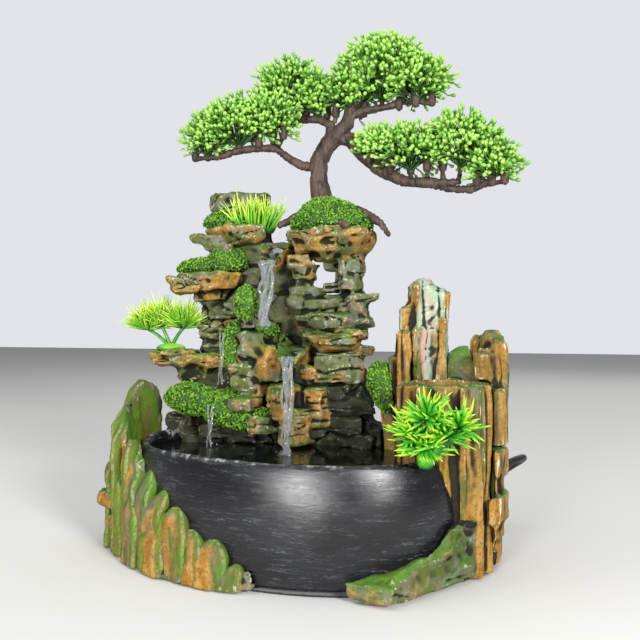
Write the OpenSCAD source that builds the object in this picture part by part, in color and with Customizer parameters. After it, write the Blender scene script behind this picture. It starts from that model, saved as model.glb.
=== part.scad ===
// Tabletop water fountain: a dark oval bowl in a rock surround, a layered rockery with
// two spouts behind it, a fluted cup column at its right end, and an artificial pine.
// Origin: middle of the base, on the table. +Z up, the bowl faces -Y.

/* [Bowl] */
// Half length of the bowl's rim
rim_rx = 93; // [92:1:94]
// Half depth of the bowl's rim
rim_ry = 61; // [60:1:62]
// Height of the rim above the table
rim_z = 64; // [62:1:66]
// Thickness of the bowl's wall at the rim
wall = 5; // [4:0.5:6]

/* [Rockery] */
// Bore of the channel that the riser hose runs in
hose_bore = 13; // [12:0.5:15]
// Outside diameter of the silicone hose
hose_d = 10; // [8:0.5:11]
// Bevel on the edges of the rock slabs
bevel = 2; // [1:0.5:3]

/* [Cup column] */
// Outside radius of the column's core
column_r = 24; // [22:0.5:25]
// Inside radius of the cup in its top
cup_r = 19; // [17:0.5:20]
// Height of the cup's lip
cup_z = 103; // [101:1:105]

/* [Pump] */
// Radius of the impeller's magnet
magnet_r = 5; // [4:0.25:5.5]
// Number of impeller blades
blade_count = 6; // [4:1:8]

/* [Cord] */
// Diameter of the mains cord
cord_d = 4.5; // [4:0.25:4.5]
// Radius of the stored coil, at the middle of its turns
coil_r = 25; // [24.5:0.25:26]

/* [Hidden] */
felt = 1;                       // thickness of the felt under the base
bowl_at = [-11, -3];            // middle of the rim's oval
bowl_yaw = -10;                 // the oval is set a little askew
back_y = 34;                    // the bowl ends here, against the rockery
column_at = [78, 0];
riser_at = [-34, 56];           // axis of the riser hose
outlet_z = 175.5;               // height of the outlet over the upper spout
pump_at = [-46, 56, 9];         // middle of the pump's underside
chamber = [[-66, 39, 9], [18, 78, 62]];   // lowest and highest corner of the pump chamber
cover_gap = 0.4;                // clearance round the back cover
led_z = 88;                     // the lamp's seat in the cup's floor
coil_at = [10, 119];            // middle of the stored coil, behind the rockery
coil_turns = 4;                 // turns side by side in a layer
coil_layers = 2;
lamp_lead_z = 20;               // height of the lamp lead's channel
pump_lead_z = 38;               // height of the pump lead's channel
channel_d = 7;
gland_at = [82, 54, pump_lead_z];
gland_dir = [0.70, 0.66, 0.27] / norm([0.70, 0.66, 0.27]);
gland_d = 8.4;
flange_d = 13;
gland_wall = 9;                 // length of the gland inside the rock
gland_nose = 23;                // length of its tapered nose
facets = 10;                    // sides of small round rock, moss and leaf forms

ochre = [0.62, 0.44, 0.18];
stone = [0.40, 0.42, 0.34];
moss_green = [0.30, 0.52, 0.10];
leaf_green = [0.42, 0.72, 0.18];
bark_brown = [0.24, 0.17, 0.14];
bowl_black = [0.10, 0.10, 0.12];

// ---- Shared shapes ----

// Joins its children into one faceted surface.
module carved() resize([0, 0, 0]) children();

// A convex slab of rock with bevelled edges, between two heights.
module slab(outline, bottom, top, edge = bevel) {
    hull() {
        translate([0, 0, bottom + edge]) linear_extrude(top - bottom - 2 * edge) polygon(outline);
        translate([0, 0, bottom]) linear_extrude(top - bottom) offset(delta = -edge) polygon(outline);
    }
}

// A slab whose top outline is pulled in, for mounds and boulders.
module mound(outline, bottom, top, pull) {
    hull() {
        translate([0, 0, bottom]) linear_extrude((top - bottom) / 3) polygon(outline);
        translate([0, 0, bottom]) linear_extrude(top - bottom) offset(delta = -pull) polygon(outline);
    }
}

// An upright tongue of rock with a round top, standing with its back to the origin's side.
module tongue(width, height, thick, lean) {
    hull() {
        translate([-width / 2, -thick, 0]) cube([width, thick, 2]);
        translate([0, lean, height - width / 2]) rotate([90, 0, 0])
            cylinder(h = thick * 0.8, r1 = width / 2, r2 = width * 0.36, $fn = 14);
    }
}

// A many-sided upright post with a domed top.
module post(x, y, r, bottom, top) {
    hull() {
        translate([x, y, bottom]) cylinder(h = top - bottom - r * 0.6, r = r, $fn = 8);
        translate([x, y, bottom]) cylinder(h = top - bottom, r = r * 0.55, $fn = 8);
    }
}

// A lump: an ellipsoid of half sizes s.
module lump(at, s, sides = facets) translate(at) scale(s) sphere(r = 1, $fn = sides);

// Frames carried along a path without twist, for the swept tubes.
function unit(v) = v / norm(v);
function tangent(p, i) = unit(p[min(i + 1, len(p) - 1)] - p[max(i - 1, 0)]);
function across(t, n) = unit(n - t * (n * t));
function normals(p, i, n) =
    i >= len(p) ? [] : let (m = across(tangent(p, i), n)) concat([m], normals(p, i + 1, m));

// A tube of given radii along a path.
module sweep(path, radii, sides, start = [0.1, 0.2, 1]) {
    ns = normals(path, 0, start);
    rings = [for (i = [0:len(path) - 1]) let (t = tangent(path, i), n = ns[i], b = cross(t, n))
        [for (k = [0:sides - 1]) let (a = 360 * k / sides)
            path[i] + radii[i] * (n * cos(a) + b * sin(a))]];
    last = len(path) - 1;
    polyhedron(
        points = [for (r = rings) each r],
        faces = concat(
            [[for (k = [0:sides - 1]) k]],
            [[for (k = [0:sides - 1]) last * sides + sides - 1 - k]],
            [for (i = [0:last - 1], k = [0:sides - 1]) let (j = (k + 1) % sides)
                [i * sides + k, (i + 1) * sides + k, (i + 1) * sides + j, i * sides + j]]
        ),
        convexity = 6
    );
}

// ---- Bowl and rock surround ----

rim_ratio = rim_ry / rim_rx;
belly = 6.5;                    // how far the belly stands out past the rim
floor_z = 9;                    // height of the bowl's inner floor
floor_rx = rim_rx - 20;

// Outer line of the wall from the foot to the rim, as radius against height.
function bowl_outer() = [
    [0, felt], [rim_rx + 2, felt], [rim_rx + 4.5, 9], [rim_rx + 6, 20], [rim_rx + belly, 32],
    [rim_rx + 5.5, 44], [rim_rx + 3.5, 53], [rim_rx + 1, 60], [rim_rx - 1.5, rim_z]
];
function bowl_inner() = [
    [rim_rx - wall, rim_z], [rim_rx + 1 - wall, 58], [rim_rx + 4 - wall, 40],
    [rim_rx - wall, 22], [floor_rx, floor_z], [0, floor_z]
];

module bowl_shape(profile) {
    translate([bowl_at.x, bowl_at.y, 0]) rotate(bowl_yaw) scale([1, rim_ratio, 1])
        rotate_extrude($fn = 64) polygon(profile);
}

module bowl_solid() bowl_shape(concat(bowl_outer(), [[0, rim_z]]));

module bowl() {
    color(bowl_black) carved() difference() {
        bowl_shape(concat(bowl_outer(), bowl_inner()));
        translate([-150, back_y, 0]) cube([300, 100, 100]);
        translate([column_at.x - 30, column_at.y + 10, 0]) cube([60, 60, 100]);
        column_room();
        right_rock_solid();
    }
}

// Tongues round the bowl's left end: angle on its oval, distance out, width, height and lean.
petals = [
    [177, 6, 30, 97, -1], [186, 5, 28, 88, -1], [195, 4, 26, 80, -1], [204, 3, 25, 74, 0],
    [198, 8, 22, 50, -1], [214, -2, 24, 66, 2], [223, -2, 22, 58, 4], [211, 2, 20, 44, 0],
    [232, -3, 22, 52, 5], [229, 1, 18, 37, 2], [241, -3, 18, 44, 5], [244, 0, 18, 28, 2],
    [252, -2, 20, 37, 2], [259, -3, 18, 27, 2], [266, -3, 20, 24, 2], [273, -4, 12, 13, 1]
];
petal_thick = 9;
function on_oval(t, off) = [(rim_rx + belly + off) * cos(t), (rim_ry + 4.5 + off) * sin(t), felt];

module petals_solid() {
    translate([bowl_at.x, bowl_at.y, 0]) rotate(bowl_yaw)
        for (p = petals) let (out = unit([cos(p[0]) * rim_ry, sin(p[0]) * rim_rx]))
            translate(on_oval(p[0], p[1])) rotate(atan2(out.y, out.x) + 90)
                tongue(p[2], p[3], petal_thick, p[4]);
    slab([[-114, 34], [-116, 6], [-111, -18], [-84, -47], [-70, -57], [-40, -64], [-6, -71],
        [-2, -60], [-60, -40], [-96, 0], [-96, 34]], felt, 12);
    slab([[-131, -8], [-129, -18], [-110, -28], [-102, -8], [-112, 6]], 24, 34);
    slab([[-124, -8], [-122, -20], [-108, -32], [-98, -8], [-110, 8]], 12, 22);
}

module left_petal_rocks() {
    color(ochre) carved() difference() {
        petals_solid();
        bowl_solid();
        shell_solid();
        plant_ledge_solid();
        translate([-150, back_y, 0]) cube([300, 100, 120]);
    }
}

module right_foot_rock() {
    color(stone) carved() difference() {
        union() {
            hull() {
                slab([[40, -68], [52, -71], [66, -71], [74, -58], [60, -52]], felt, 11, 1);
                slab([[70, -60], [78, -52], [90, -27], [80, -24]], felt, 20, 2);
            }
            hull() {
                slab([[78, -50], [86, -38], [96, -18], [84, -18]], felt, 22, 2);
                slab([[86, -32], [95, -24], [98, -15], [90, -12]], felt, 36, 2);
            }
        }
        bowl_solid();
        column_room();
        right_rock_solid();
    }
}

module right_rock_solid() {
    slab([[33, 34], [57, 24], [96, 6], [106, 8], [109, 26], [97, 58], [60, 70], [36, 62]], felt, 84);
    slab([[94, 4], [105, 0], [107, 15], [96, 24]], felt, 17, 3);
    slab([[92, -6], [107, -4], [110, 14], [94, 22]], 17, 26, 1);
    slab([[93, -9], [110, -6], [113, 15], [96, 22]], 26, 44);
    slab([[92, -2], [107, -2], [110, 14], [94, 22]], 44, 50, 1);
    slab([[92, -5], [109, -4], [112, 17], [94, 26]], 50, 68);
    slab([[45.4, 20.2], [57, 18], [61, 36], [47, 40]], 80, 132, 3);
    slab([[39, 26], [49, 22], [53, 40], [43, 44]], 80, 118, 3);
}

module right_rock() {
    color(stone) carved() difference() {
        right_rock_solid();
        column_room();
        pillar_solid();
        shell_solid();
        lead_channels();
        along_gland(-2) cylinder(h = 40, d = gland_d + 0.3, $fn = 24);
        along_gland(gland_wall - 0.2) cylinder(h = 30, d = flange_d + 0.4, $fn = 24);
    }
}

flutes = 13;
flute_r = 5.2;
// The column with its flutes. grow leaves room for it in the faceted rocks round it.
module column_solid(grow = 0) {
    translate([column_at.x, column_at.y, felt]) {
        cylinder(h = cup_z - felt, r = column_r + grow, $fn = 40);
        for (i = [0:flutes - 1]) {
            a = i * 360 / flutes;
            translate([cos(a) * (column_r - 2.5), sin(a) * (column_r - 2.5), 0])
                cylinder(h = cup_z - felt - 1.5 + 1.5 * sin(i * 140), r = flute_r + grow, $fn = 8);
        }
    }
}
module column_room() column_solid(0.15);

module cup_column() {
    color(ochre) difference() {
        column_solid();
        translate([column_at.x, column_at.y, led_z]) cylinder(h = 40, r = cup_r, $fn = 48);
        translate([column_at.x, column_at.y, led_z - 8]) cylinder(h = 20, r = 9, $fn = 32);
        lead_channels();
    }
}

module pillar_solid() {
    post(60, 33, 9.5, 84, 161);
    post(69, 34, 7.5, 84, 156);
    post(52, 30, 6.5, 84, 146);
    post(61, 26, 6.5, 84, 134);
    post(71, 29, 5.5, 84, 138);
}

module rear_pillar() {
    color(ochre) carved() difference() {
        pillar_solid();
        column_room();
    }
}

module side_pillars() {
    color(ochre) carved() difference() {
        side_posts();
        column_room();
        right_rock_solid();
    }
}

module side_posts() {
    post(101, 25, 8, 84, 131);
    post(106, 17, 6, 68, 126);
    post(94, 32, 7, 84, 128);
    post(98, 14, 7, 84, 121);
    post(107, 7, 5, 68, 100);
}

module cup_boulder() {
    color(stone) carved() difference() {
        lump([84, 31, 106], [12, 9, 16], 12);
        translate([60, 0, 60]) cube([60, 60, 24]);
        column_room();
        right_rock_solid();
        pillar_solid();
        side_posts();
    }
}

// ---- Rockery ----

module shell_solid() {
    slab([[-112, 46], [-106, back_y], [36, back_y], [36, 66], [30, 80], [-84, 80], [-108, 68]],
        felt, 72);
    slab([[-98, 42], [-90, 34], [23, 34], [25, 62], [10, 78], [-80, 78], [-96, 62]], 70, 104);
    slab([[-92, 42], [-84, 34], [17, 33], [21, 44], [19, 62], [6, 76], [-74, 76], [-90, 60]], 102, 122);
    slab([[-92, 46], [-84, 38], [0, 38], [17, 46], [17, 60], [2, 72], [-72, 74], [-88, 62]], 120, 153);
    slab([[-86, 46], [-76, 38], [-24, 40], [-15, 48], [-15, 64], [-30, 74], [-70, 74], [-84, 62]],
        150, 186);
    slab([[-80, 50], [-72, 44], [-46, 44], [-42, 60], [-58, 71], [-76, 66]], 183, 207);
    slab([[-104, 44], [-96, 30], [-70, 28], [-62, 34], [-62, 40], [-90, 50]], 84, 104);
    slab([[-110, 44], [-106, 24], [-92, 22], [-84, 34], [-90, 44]], felt, 76);
}

module back_cover_solid(gap) {
    translate([chamber[0].x - 4 + gap, 74 + gap, chamber[0].z + 1 + gap])
        cube([chamber[1].x - chamber[0].x + 8 - 2 * gap, 20, chamber[1].z - chamber[0].z + 4 - 2 * gap]);
}

module rockery_shell() {
    color(stone) carved() difference() {
        shell_solid();
        translate(chamber[0]) cube(chamber[1] - chamber[0]);
        back_cover_solid(0);
        translate([riser_at.x, riser_at.y, 50]) cylinder(h = 132, d = hose_bore, $fn = 24);
        translate([riser_at.x, riser_at.y, outlet_z])
            rotate([90, 0, 0]) cylinder(h = 40, d = hose_bore, $fn = 24);
        translate([-52, 20, 12]) cube([24, 30, 16]);
        lead_channels();
        bowl_solid_cut();
    }
}

module back_cover() {
    color(stone) {
        difference() {
            back_cover_solid(cover_gap);
            translate([-200, 80, 0]) cube([400, 40, 100]);
        }
        translate([-34, 79, 54]) cube([20, 4, 8]);
    }
}

module top_slab() {
    color(stone)
        slab([[-89, 54], [-80, 47], [-60, 46], [-46, 54], [-46, 64], [-58, 73], [-80, 70]], 207, 221);
}

module grass_slab_solid() {
    slab([[-87, 42], [-80, 32], [-62, 22], [-44, 19], [-38, 26], [-42, 44], [-80, 50]], 183, 196);
}

module grass_slab() {
    color(ochre) carved() difference() {
        grass_slab_solid();
        shell_solid();
        grass_tuft_solid();
    }
}

// A tapering trough that carries water forward and down: sloped V floor between two cheeks.
module trough(half_back, half_front, depth, length, drop) {
    rotate([90, 0, 0]) difference() {
        hull() {
            linear_extrude(1) polygon([
                [-half_back, 0], [half_back, 0], [half_back * 0.55, -depth], [-half_back * 0.55, -depth]
            ]);
            translate([0, -drop, length - 1]) linear_extrude(1) polygon([
                [-half_front, 2], [half_front, 2],
                [half_front * 0.4, -depth * 0.35], [-half_front * 0.4, -depth * 0.35]
            ]);
        }
        hull() {
            translate([0, 0.1, -1]) linear_extrude(1)
                polygon([[-half_back + 3, 0], [half_back - 3, 0], [0, -depth * 0.6]]);
            translate([0, 2.1 - drop, length]) linear_extrude(1)
                polygon([[-half_front + 2, 0], [half_front - 2, 0], [0, -3.5]]);
        }
    }
}

module upper_spout_solid() translate([-33, 40, 190]) rotate([0, 0, 8]) trough(13, 6, 22, 32, 20);

module upper_spout() {
    color(ochre) carved() difference() {
        upper_spout_solid();
        shell_solid();
        grass_slab_solid();
        translate([riser_at.x, riser_at.y, outlet_z])
            rotate([90, 0, 0]) cylinder(h = 22, d = hose_bore, $fn = 24);
    }
}

module platform_solid() {
    slab([[-26, 34], [-22, 20], [-6, 11], [14, 9], [27, 24], [30, 48], [18, 66], [-8, 68], [-26, 52]],
        176, 192);
    slab([[-18, 36], [0, 14], [16, 14], [24, 28], [26, 50], [10, 62], [-12, 60]], 171, 178, 1.5);
}

module tree_platform() {
    color(ochre) carved() difference() {
        platform_solid();
        shell_solid();
        upper_spout_solid();
        trunk_solid();
    }
}

module arch_foot() slab([[12, 46], [22, 44], [23, 58], [14, 64]], 122, 146);

module arch_pillar() {
    color(stone) carved() difference() {
        union() {
            slab([[-1, 48], [6, 42], [17, 45], [19, 58], [8, 66], [-1, 62]], 153, 171);
            slab([[-3, 50], [4, 40], [20, 40], [27, 46], [20, 60], [6, 66]], 144, 153.5);
            arch_foot();
        }
        shell_solid();
        platform_solid();
    }
}

module hanging_rocks() {
    color(ochre) carved() difference() {
        union() {
            slab([[-21, 20], [-9, 18], [-3, 24], [-5, 42], [-21, 42]], 168, 178, 1);
            slab([[-19, 22], [-9, 20], [-5, 26], [-7, 42], [-18, 42]], 160, 169, 1);
        }
        shell_solid();
        platform_solid();
        upper_spout_solid();
    }
}

module mossy_ledge_solid() {
    slab([[-107, 38], [-98, 26], [-78, 21], [-58, 21], [-53, 28], [-56, 43], [-96, 44]], 154, 168);
    slab([[-94, 38], [-84, 26.5], [-66, 27.4], [-59, 41], [-80, 45]], 147.5, 156, 0);
}

module mossy_ledge() {
    color(ochre) carved() difference() {
        mossy_ledge_solid();
        shell_solid();
    }
}

module crevice_solid() {
    slab([[-68, 30], [-64, 20], [-48, 13], [-38, 17], [-38, 30], [-52, 40]], 138, 149);
    slab([[-54, 20], [-46, 12], [-38, 15], [-37, 30], [-49.4, 37]], 128, 142);
    slab([[-96, 48], [-90, 35.5], [-74, 28], [-60, 30], [-62, 44.6]], 129, 137, 1.5);
    slab([[-92, 44], [-82, 32], [-62, 28], [-56, 36.3], [-60, 47]], 121.3, 130, 1.5);
}

module crevice_rocks() {
    color(stone) carved() difference() {
        crevice_solid();
        shell_solid();
        centre_solid();
        mossy_ledge_solid();
    }
}

module plant_ledge_solid() {
    slab([[-122, 38], [-117, 28], [-98, 19], [-66, 20], [-56, 28], [-62, 44], [-108, 50]], 105, 117);
    slab([[-110, 38], [-102, 24], [-74, 22], [-66, 34], [-90, 46]], 96, 106);
}

module plant_ledge() {
    color(ochre) carved() difference() {
        plant_ledge_solid();
        shell_solid();
        translate([-106, 34, 111]) cylinder(h = 10, d = 4, $fn = 16);
    }
}

module centre_solid() {
    slab([[-58, 34], [-56, 18], [-46, 11], [-32, 12], [-30, 34]], 112, 130);
    slab([[-54, 34], [-52, 17], [-44, 14], [-36, 16], [-34, 34]], 88, 114);
    slab([[-40, 34], [-40, 14], [-30, 9], [-22, 14], [-20, 34]], 98, 122);
}

module centre_rock() {
    color(ochre) carved() difference() {
        centre_solid();
        shell_solid();
        plant_ledge_solid();
        lower_spout_solid();
    }
}

module lower_spout_solid() translate([-17, 38, 130]) rotate([0, 0, 8]) trough(15, 8, 20, 42, 16);

module lower_spout() {
    color(ochre) carved() difference() {
        lower_spout_solid();
        shell_solid();
    }
}

module right_upper_solid()
    slab([[-9, 34], [-8, 16], [6, 9], [18, 14], [23, 32], [14, 46], [0, 40]], 130, 141);
module right_lower_solid()
    slab([[-7, 32], [-7, 8], [10, 2], [24, 8], [30, 26], [24, 40], [8, 40]], 117, 130);
module right_boulder_solid()
    mound([[-6, 34], [-6, 18], [8, 11], [22, 15], [29, 30], [22, 40]], 98, 117, 3);

module right_ledge_upper() {
    color(stone) carved() difference() {
        right_upper_solid();
        shell_solid();
        lower_spout_solid();
        arch_foot();
    }
}

module right_ledge_lower() {
    color(ochre) carved() difference() {
        right_lower_solid();
        shell_solid();
        lower_spout_solid();
        arch_foot();
    }
}

module right_boulder() {
    color(stone) carved() difference() {
        right_boulder_solid();
        shell_solid();
        lower_spout_solid();
    }
}

module foot_left_solid() {
    slab([[-34, 36], [-33, 16], [-22, 12], [-14, 17], [-14, 36]], 82, 98);
    slab([[-26, 36], [-24, 13], [-10, 11], [-6, 18], [-6, 36]], 60, 84);
}

module foot_rocks() {
    color(ochre) carved() difference() {
        union() {
            foot_left_solid();
            slab([[-12, 36], [-11, 20], [2, 18], [8, 36]], 70, 96);
        }
        shell_solid();
        bowl_solid_cut();
        centre_solid();
    }
}

// The bowl's wall and floor where the rockery's foot comes down to them.
module bowl_solid_cut() intersection() {
    bowl_shape(concat(bowl_outer(), bowl_inner()));
    translate([-150, -100, 0]) cube([300, 100 + back_y, 100]);
}

// ---- Moss ----

module moss_tree_mound() {
    color(moss_green) carved() difference() {
        union() {
            mound([[-24, 38], [-18, 22], [-4, 14], [14, 12], [24, 24], [26, 48], [14, 62], [-6, 64],
                [-22, 52]], 192, 207, 9);
            lump([-3, 42, 200], [17, 16, 13]);
        }
        translate([-60, -20, 100]) cube([120, 120, 92]);
        trunk_solid();
    }
}

module moss_grass_slab() {
    color(moss_green) carved() difference() {
        union() {
            lump([-62, 34, 196], [20, 11, 7]);
            lump([-76, 40, 197], [9, 8, 9]);
        }
        translate([-120, -20, 100]) cube([140, 120, 96]);
        shell_solid();
        grass_tuft_solid();
    }
}

module moss_ledge() {
    color(moss_green) carved() difference() {
        union() {
            lump([-84, 36, 168], [20, 11, 8]);
            lump([-68, 38, 171], [15, 11, 15]);
        }
        translate([-160, -20, 100]) cube([220, 120, 68]);
        shell_solid();
        grass_slab_clear();
    }
}

// Keeps the moss on the ledge below clear of the slab over it.
module grass_slab_clear() translate([-120, 0, 182]) cube([120, 80, 30]);

module moss_centre() {
    color(moss_green) carved() difference() {
        union() {
            lump([-50, 22, 130], [11, 9, 7]);
            lump([-36, 20, 130], [12, 8, 5]);
            lump([-55, 19, 118], [7, 7, 16]);
            lump([-44, 13, 146], [8, 6, 12]);
        }
        shell_solid();
        centre_solid();
        lower_spout_solid();
        plant_ledge_solid();
        mossy_ledge_solid();
        crevice_solid();
    }
}

module moss_bank() {
    color(moss_green) carved() difference() {
        union() {
            lump([-86, 28, 86], [22, 14, 10]);
            lump([-60, 26, 80], [20, 14, 12]);
            lump([-40, 24, 74], [18, 12, 8]);
        }
        shell_solid();
        centre_solid();
        plant_ledge_solid();
        petals_solid();
        bowl_solid_cut();
        translate([-160, -60, 0]) cube([220, 120, 70]);
        foot_left_solid();
    }
}

module moss_bush() {
    color(moss_green) carved() difference() {
        union() {
            lump([36, 29, 100], [10, 9, 12], 12);
            lump([40, 27, 90], [8, 8, 9]);
        }
        right_rock_solid();
        shell_solid();
        column_room();
        right_boulder_solid();
        right_lower_solid();
    }
}

// ---- Tree ----

// Main stem, from its foot to the fork.
stem = [
    [-4, 45, 186], [-5, 45, 206], [-8, 45, 222], [-8, 45, 236], [-2, 45, 246], [5, 45, 251],
    [11, 45, 258], [13, 45, 270]
];
stem_r = [3.6, 6, 5.2, 5, 5, 4.6, 3.4, 2.2];
// Branches: path and radii.
branches = [
    [[[4, 45, 250], [14, 43, 247], [24, 41, 235], [34, 39, 226], [48, 37, 219], [62, 35, 217],
        [82, 33, 216]], [4, 4, 3.6, 3.2, 2.6, 2, 1.4]],
    [[[-8, 45, 232], [-18, 43, 233], [-27, 41, 238], [-34, 39, 244], [-48, 37, 245], [-62, 35, 243],
        [-72, 34, 240]], [2.4, 1.8, 1.6, 1.6, 1.6, 1.8, 1.4]],
    [[[0, 45, 248], [-1, 46, 258], [-10, 48, 263], [-26, 50, 264], [-40, 50, 263]],
        [3, 2.2, 1.6, 1.5, 1.2]],
    [[[12, 45, 262], [22, 46, 266], [36, 47, 267], [50, 48, 270]], [2.2, 1.8, 1.6, 1.2]],
    [[[62, 35, 217], [76, 36, 213], [88, 37, 212], [98, 37, 216]], [1.8, 1.6, 1.6, 1.2]]
];
// Roots that grip the mound.
roots = [
    [[[-4, 42, 207], [-2, 34, 204], [2, 26, 201], [10, 17, 195], [20, 13, 191]],
        [3.4, 2.6, 2.2, 1.9, 1.2]],
    [[[-6, 44, 206], [-14, 38, 204], [-22, 33, 198], [-30, 30, 194]], [2.8, 2, 1.7, 1.2]],
    [[[0, 44, 206], [12, 42, 205], [24, 40, 201], [34, 38, 194], [39, 38, 187]], [3, 2.4, 2, 1.8, 1.2]],
    [[[6, 46, 206], [18, 48, 203], [30, 47, 196], [35, 46, 191]], [2.2, 1.8, 1.5, 1.1]]
];

module trunk_solid() {
    sweep(stem, stem_r, 10, [1, 0, 0]);
    for (b = branches) sweep(b[0], b[1], 8);
    for (r = roots) sweep(r[0], r[1], 8);
}

module tree_trunk() {
    color(bark_brown) carved() difference() {
        trunk_solid();
        translate([-100, -50, 150]) cube([200, 200, 35]);
    }
}

module foliage(lumps) {
    color(leaf_green) carved() difference() {
        union() for (l = lumps) lump([l[0], l[1], l[2]], [l[3], l[4], l[5]], 12);
        trunk_solid();
    }
}

module foliage_left() {
    foliage([[-58, 34, 262, 30, 22, 18], [-36, 36, 266, 18, 18, 18], [-80, 33, 255, 17, 16, 16]]);
}

module foliage_upper_left() difference() {
    foliage([[-30, 50, 286, 25, 20, 22], [-12, 52, 280, 15, 18, 16]]);
    foliage_left();
}
module foliage_top() difference() {
    foliage([[32, 46, 292, 32, 24, 24], [54, 44, 282, 22, 20, 18], [12, 46, 280, 18, 20, 18]]);
    foliage_left();
    foliage_upper_left();
}
module foliage_right() difference() {
    foliage([[52, 36, 240, 24, 20, 17], [34, 34, 244, 14, 16, 12]]);
    foliage_top();
}
module foliage_right_tip() difference() {
    foliage([[82, 36, 243, 22, 20, 20], [100, 34, 230, 17, 16, 16]]);
    foliage_top();
    foliage_right();
}

// ---- Plug-in plants ----

module grass_tuft_solid() {
    translate([-46, 35, 192]) cylinder(h = 6, r = 8, $fn = 16);
    translate([-46, 35, 197]) cylinder(h = 17, r1 = 8, r2 = 14, $fn = 16);
}

module grass_tuft() {
    color(leaf_green) carved() difference() {
        grass_tuft_solid();
        shell_solid();
    }
}

module needle_plant_left() {
    color(leaf_green) carved() difference() {
        union() {
            translate([-106, 34, 111.5]) cylinder(h = 8, d = 3.6, $fn = 16);
            translate([-106, 34, 117]) cylinder(h = 3, r = 9, $fn = 16);
            translate([-112, 34, 118]) rotate([0, -25, 0]) cylinder(h = 14, r = 1.2, $fn = 8);
            translate([-101, 34, 118]) rotate([0, 12, 0]) cylinder(h = 14, r = 1.2, $fn = 8);
            lump([-121, 33, 137], [20, 15, 13]);
            lump([-98, 34, 138], [15, 14, 11]);
        }
        shell_solid();
        mossy_ledge_solid();
        crevice_solid();
    }
}

module star_plant_right() {
    color(leaf_green) carved() difference() {
        union() {
            translate([76, -42, 63]) cylinder(h = 8, r = 7, $fn = 16);
            lump([79, -46, 86], [20, 15, 17]);
        }
        column_room();
        bowl_solid();
    }
}

// ---- Pump ----

axis_z = 15;                    // height of the impeller's axis above the pump's underside
body_y = 8;                     // front end of the motor housing, from the pump's middle
pump_half = 14;                 // half width of the pump's housing
seat_up = 4.5;                  // how far the dial's seat stands above the impeller's axis
module at_pump() translate(pump_at) rotate(90) children();
module on_axis(y) translate([0, y, axis_z]) rotate([90, 0, 0]) children();

module pump_body() {
    color([0.13, 0.13, 0.14]) at_pump() difference() {
        translate([-pump_half, -body_y, 3]) cube([2 * pump_half, 22, 26]);
        on_axis(12) cylinder(h = 22, r = magnet_r + 0.5, $fn = 32);
        on_axis(13) cylinder(h = 4, r = 1.03, $fn = 24);
    }
}

module pump_front_cover() {
    color([0.13, 0.13, 0.14]) at_pump() difference() {
        union() {
            translate([-pump_half, -17, 3]) cube([2 * pump_half, 9, 26]);
            translate([0, -12, 29]) cylinder(h = 8, r = 3.6, $fn = 32);
        }
        on_axis(-7) cylinder(h = 9, r = 10, $fn = 40);
        on_axis(-15) cylinder(h = 4, r = 4, $fn = 32);
        translate([0, -12, 20]) cylinder(h = 20, r = 2.4, $fn = 24);
    }
}

module pump_impeller() {
    color([0.85, 0.85, 0.85]) at_pump() difference() {
        union() {
            on_axis(11) cylinder(h = 18.5, r = magnet_r, $fn = 32);
            on_axis(-9) cylinder(h = 1.2, r = 8.5, $fn = 40);
            for (i = [0:blade_count - 1])
                on_axis(-10.2) rotate(i * 360 / blade_count) translate([2.5, -0.6, 0]) cube([6, 1.2, 4]);
            on_axis(-7) cylinder(h = 6, r = 3, $fn = 32);
        }
        on_axis(20) cylinder(h = 40, r = 1.06, $fn = 24);
    }
}

module impeller_shaft() {
    color([0.92, 0.92, 0.90]) at_pump() on_axis(12.8) cylinder(h = 27, r = 1, $fn = 24);
}

module intake_grille() {
    color([0.16, 0.16, 0.17]) at_pump() difference() {
        translate([-12, -21, 4]) cube([24, 4, 23]);
        for (x = [-8:5:7]) translate([x - 1, -22, 6]) cube([3, 6, 5]);
        on_axis(-16) translate([0, seat_up, 0]) cylinder(h = 6, r = 2, $fn = 16);
        on_axis(-18.5) translate([0, seat_up, 0]) cylinder(h = 4, r = 6.25, $fn = 32);
    }
}

// Dial that opens and closes the intake, set in the grille's round seat.
module flow_regulator() {
    color([0.55, 0.56, 0.58]) at_pump() on_axis(-18.6) translate([0, seat_up, 0]) {
        cylinder(h = 2.6, r = 6.2, $fn = 32);
        translate([-1, -5, 2.4]) cube([2, 10, 1.6]);
    }
}

module suction_cups() {
    color([0.75, 0.76, 0.78]) at_pump() for (x = [-9, 9], y = [-11, 8])
        translate([x, y, 0]) {
            cylinder(h = 1, r = 4, $fn = 24);
            translate([0, 0, 0.5]) cylinder(h = 2.5, r = 2, $fn = 24);
        }
}

// ---- Water path, lamp and cord ----

// Silicone riser from the pump's outlet to the upper spout.
riser_foot = pump_at.z + 31;
riser = concat(
    [for (z = [riser_foot, 66, 100, 140, 166]) [riser_at.x, riser_at.y, z]],
    [[riser_at.x, riser_at.y - 3, outlet_z - 2.5], [riser_at.x, riser_at.y - 9, outlet_z],
        [riser_at.x, riser_at.y - 12, outlet_z]]
);

module riser_hose() {
    color([0.80, 0.83, 0.85, 0.5]) carved() difference() {
        sweep(riser, [for (p = riser) hose_d / 2], 12, [1, 0, 0]);
        sweep(concat([riser[0] - [0, 0, 1]], riser, [riser[len(riser) - 1] - [0, 1, 0]]),
            [for (i = [0:len(riser) + 1]) hose_d / 2 - 1.25], 12, [1, 0, 0]);
    }
}

module spout_nozzle() {
    color([0.75, 0.76, 0.78]) translate([riser_at.x, riser_at.y - 12.2, outlet_z]) rotate([90, 0, 0])
        difference() {
            cylinder(h = 4, d = hose_d + 2, $fn = 32);
            translate([0, 0, -1]) cylinder(h = 8, r = 3, $fn = 32);
        }
}

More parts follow.
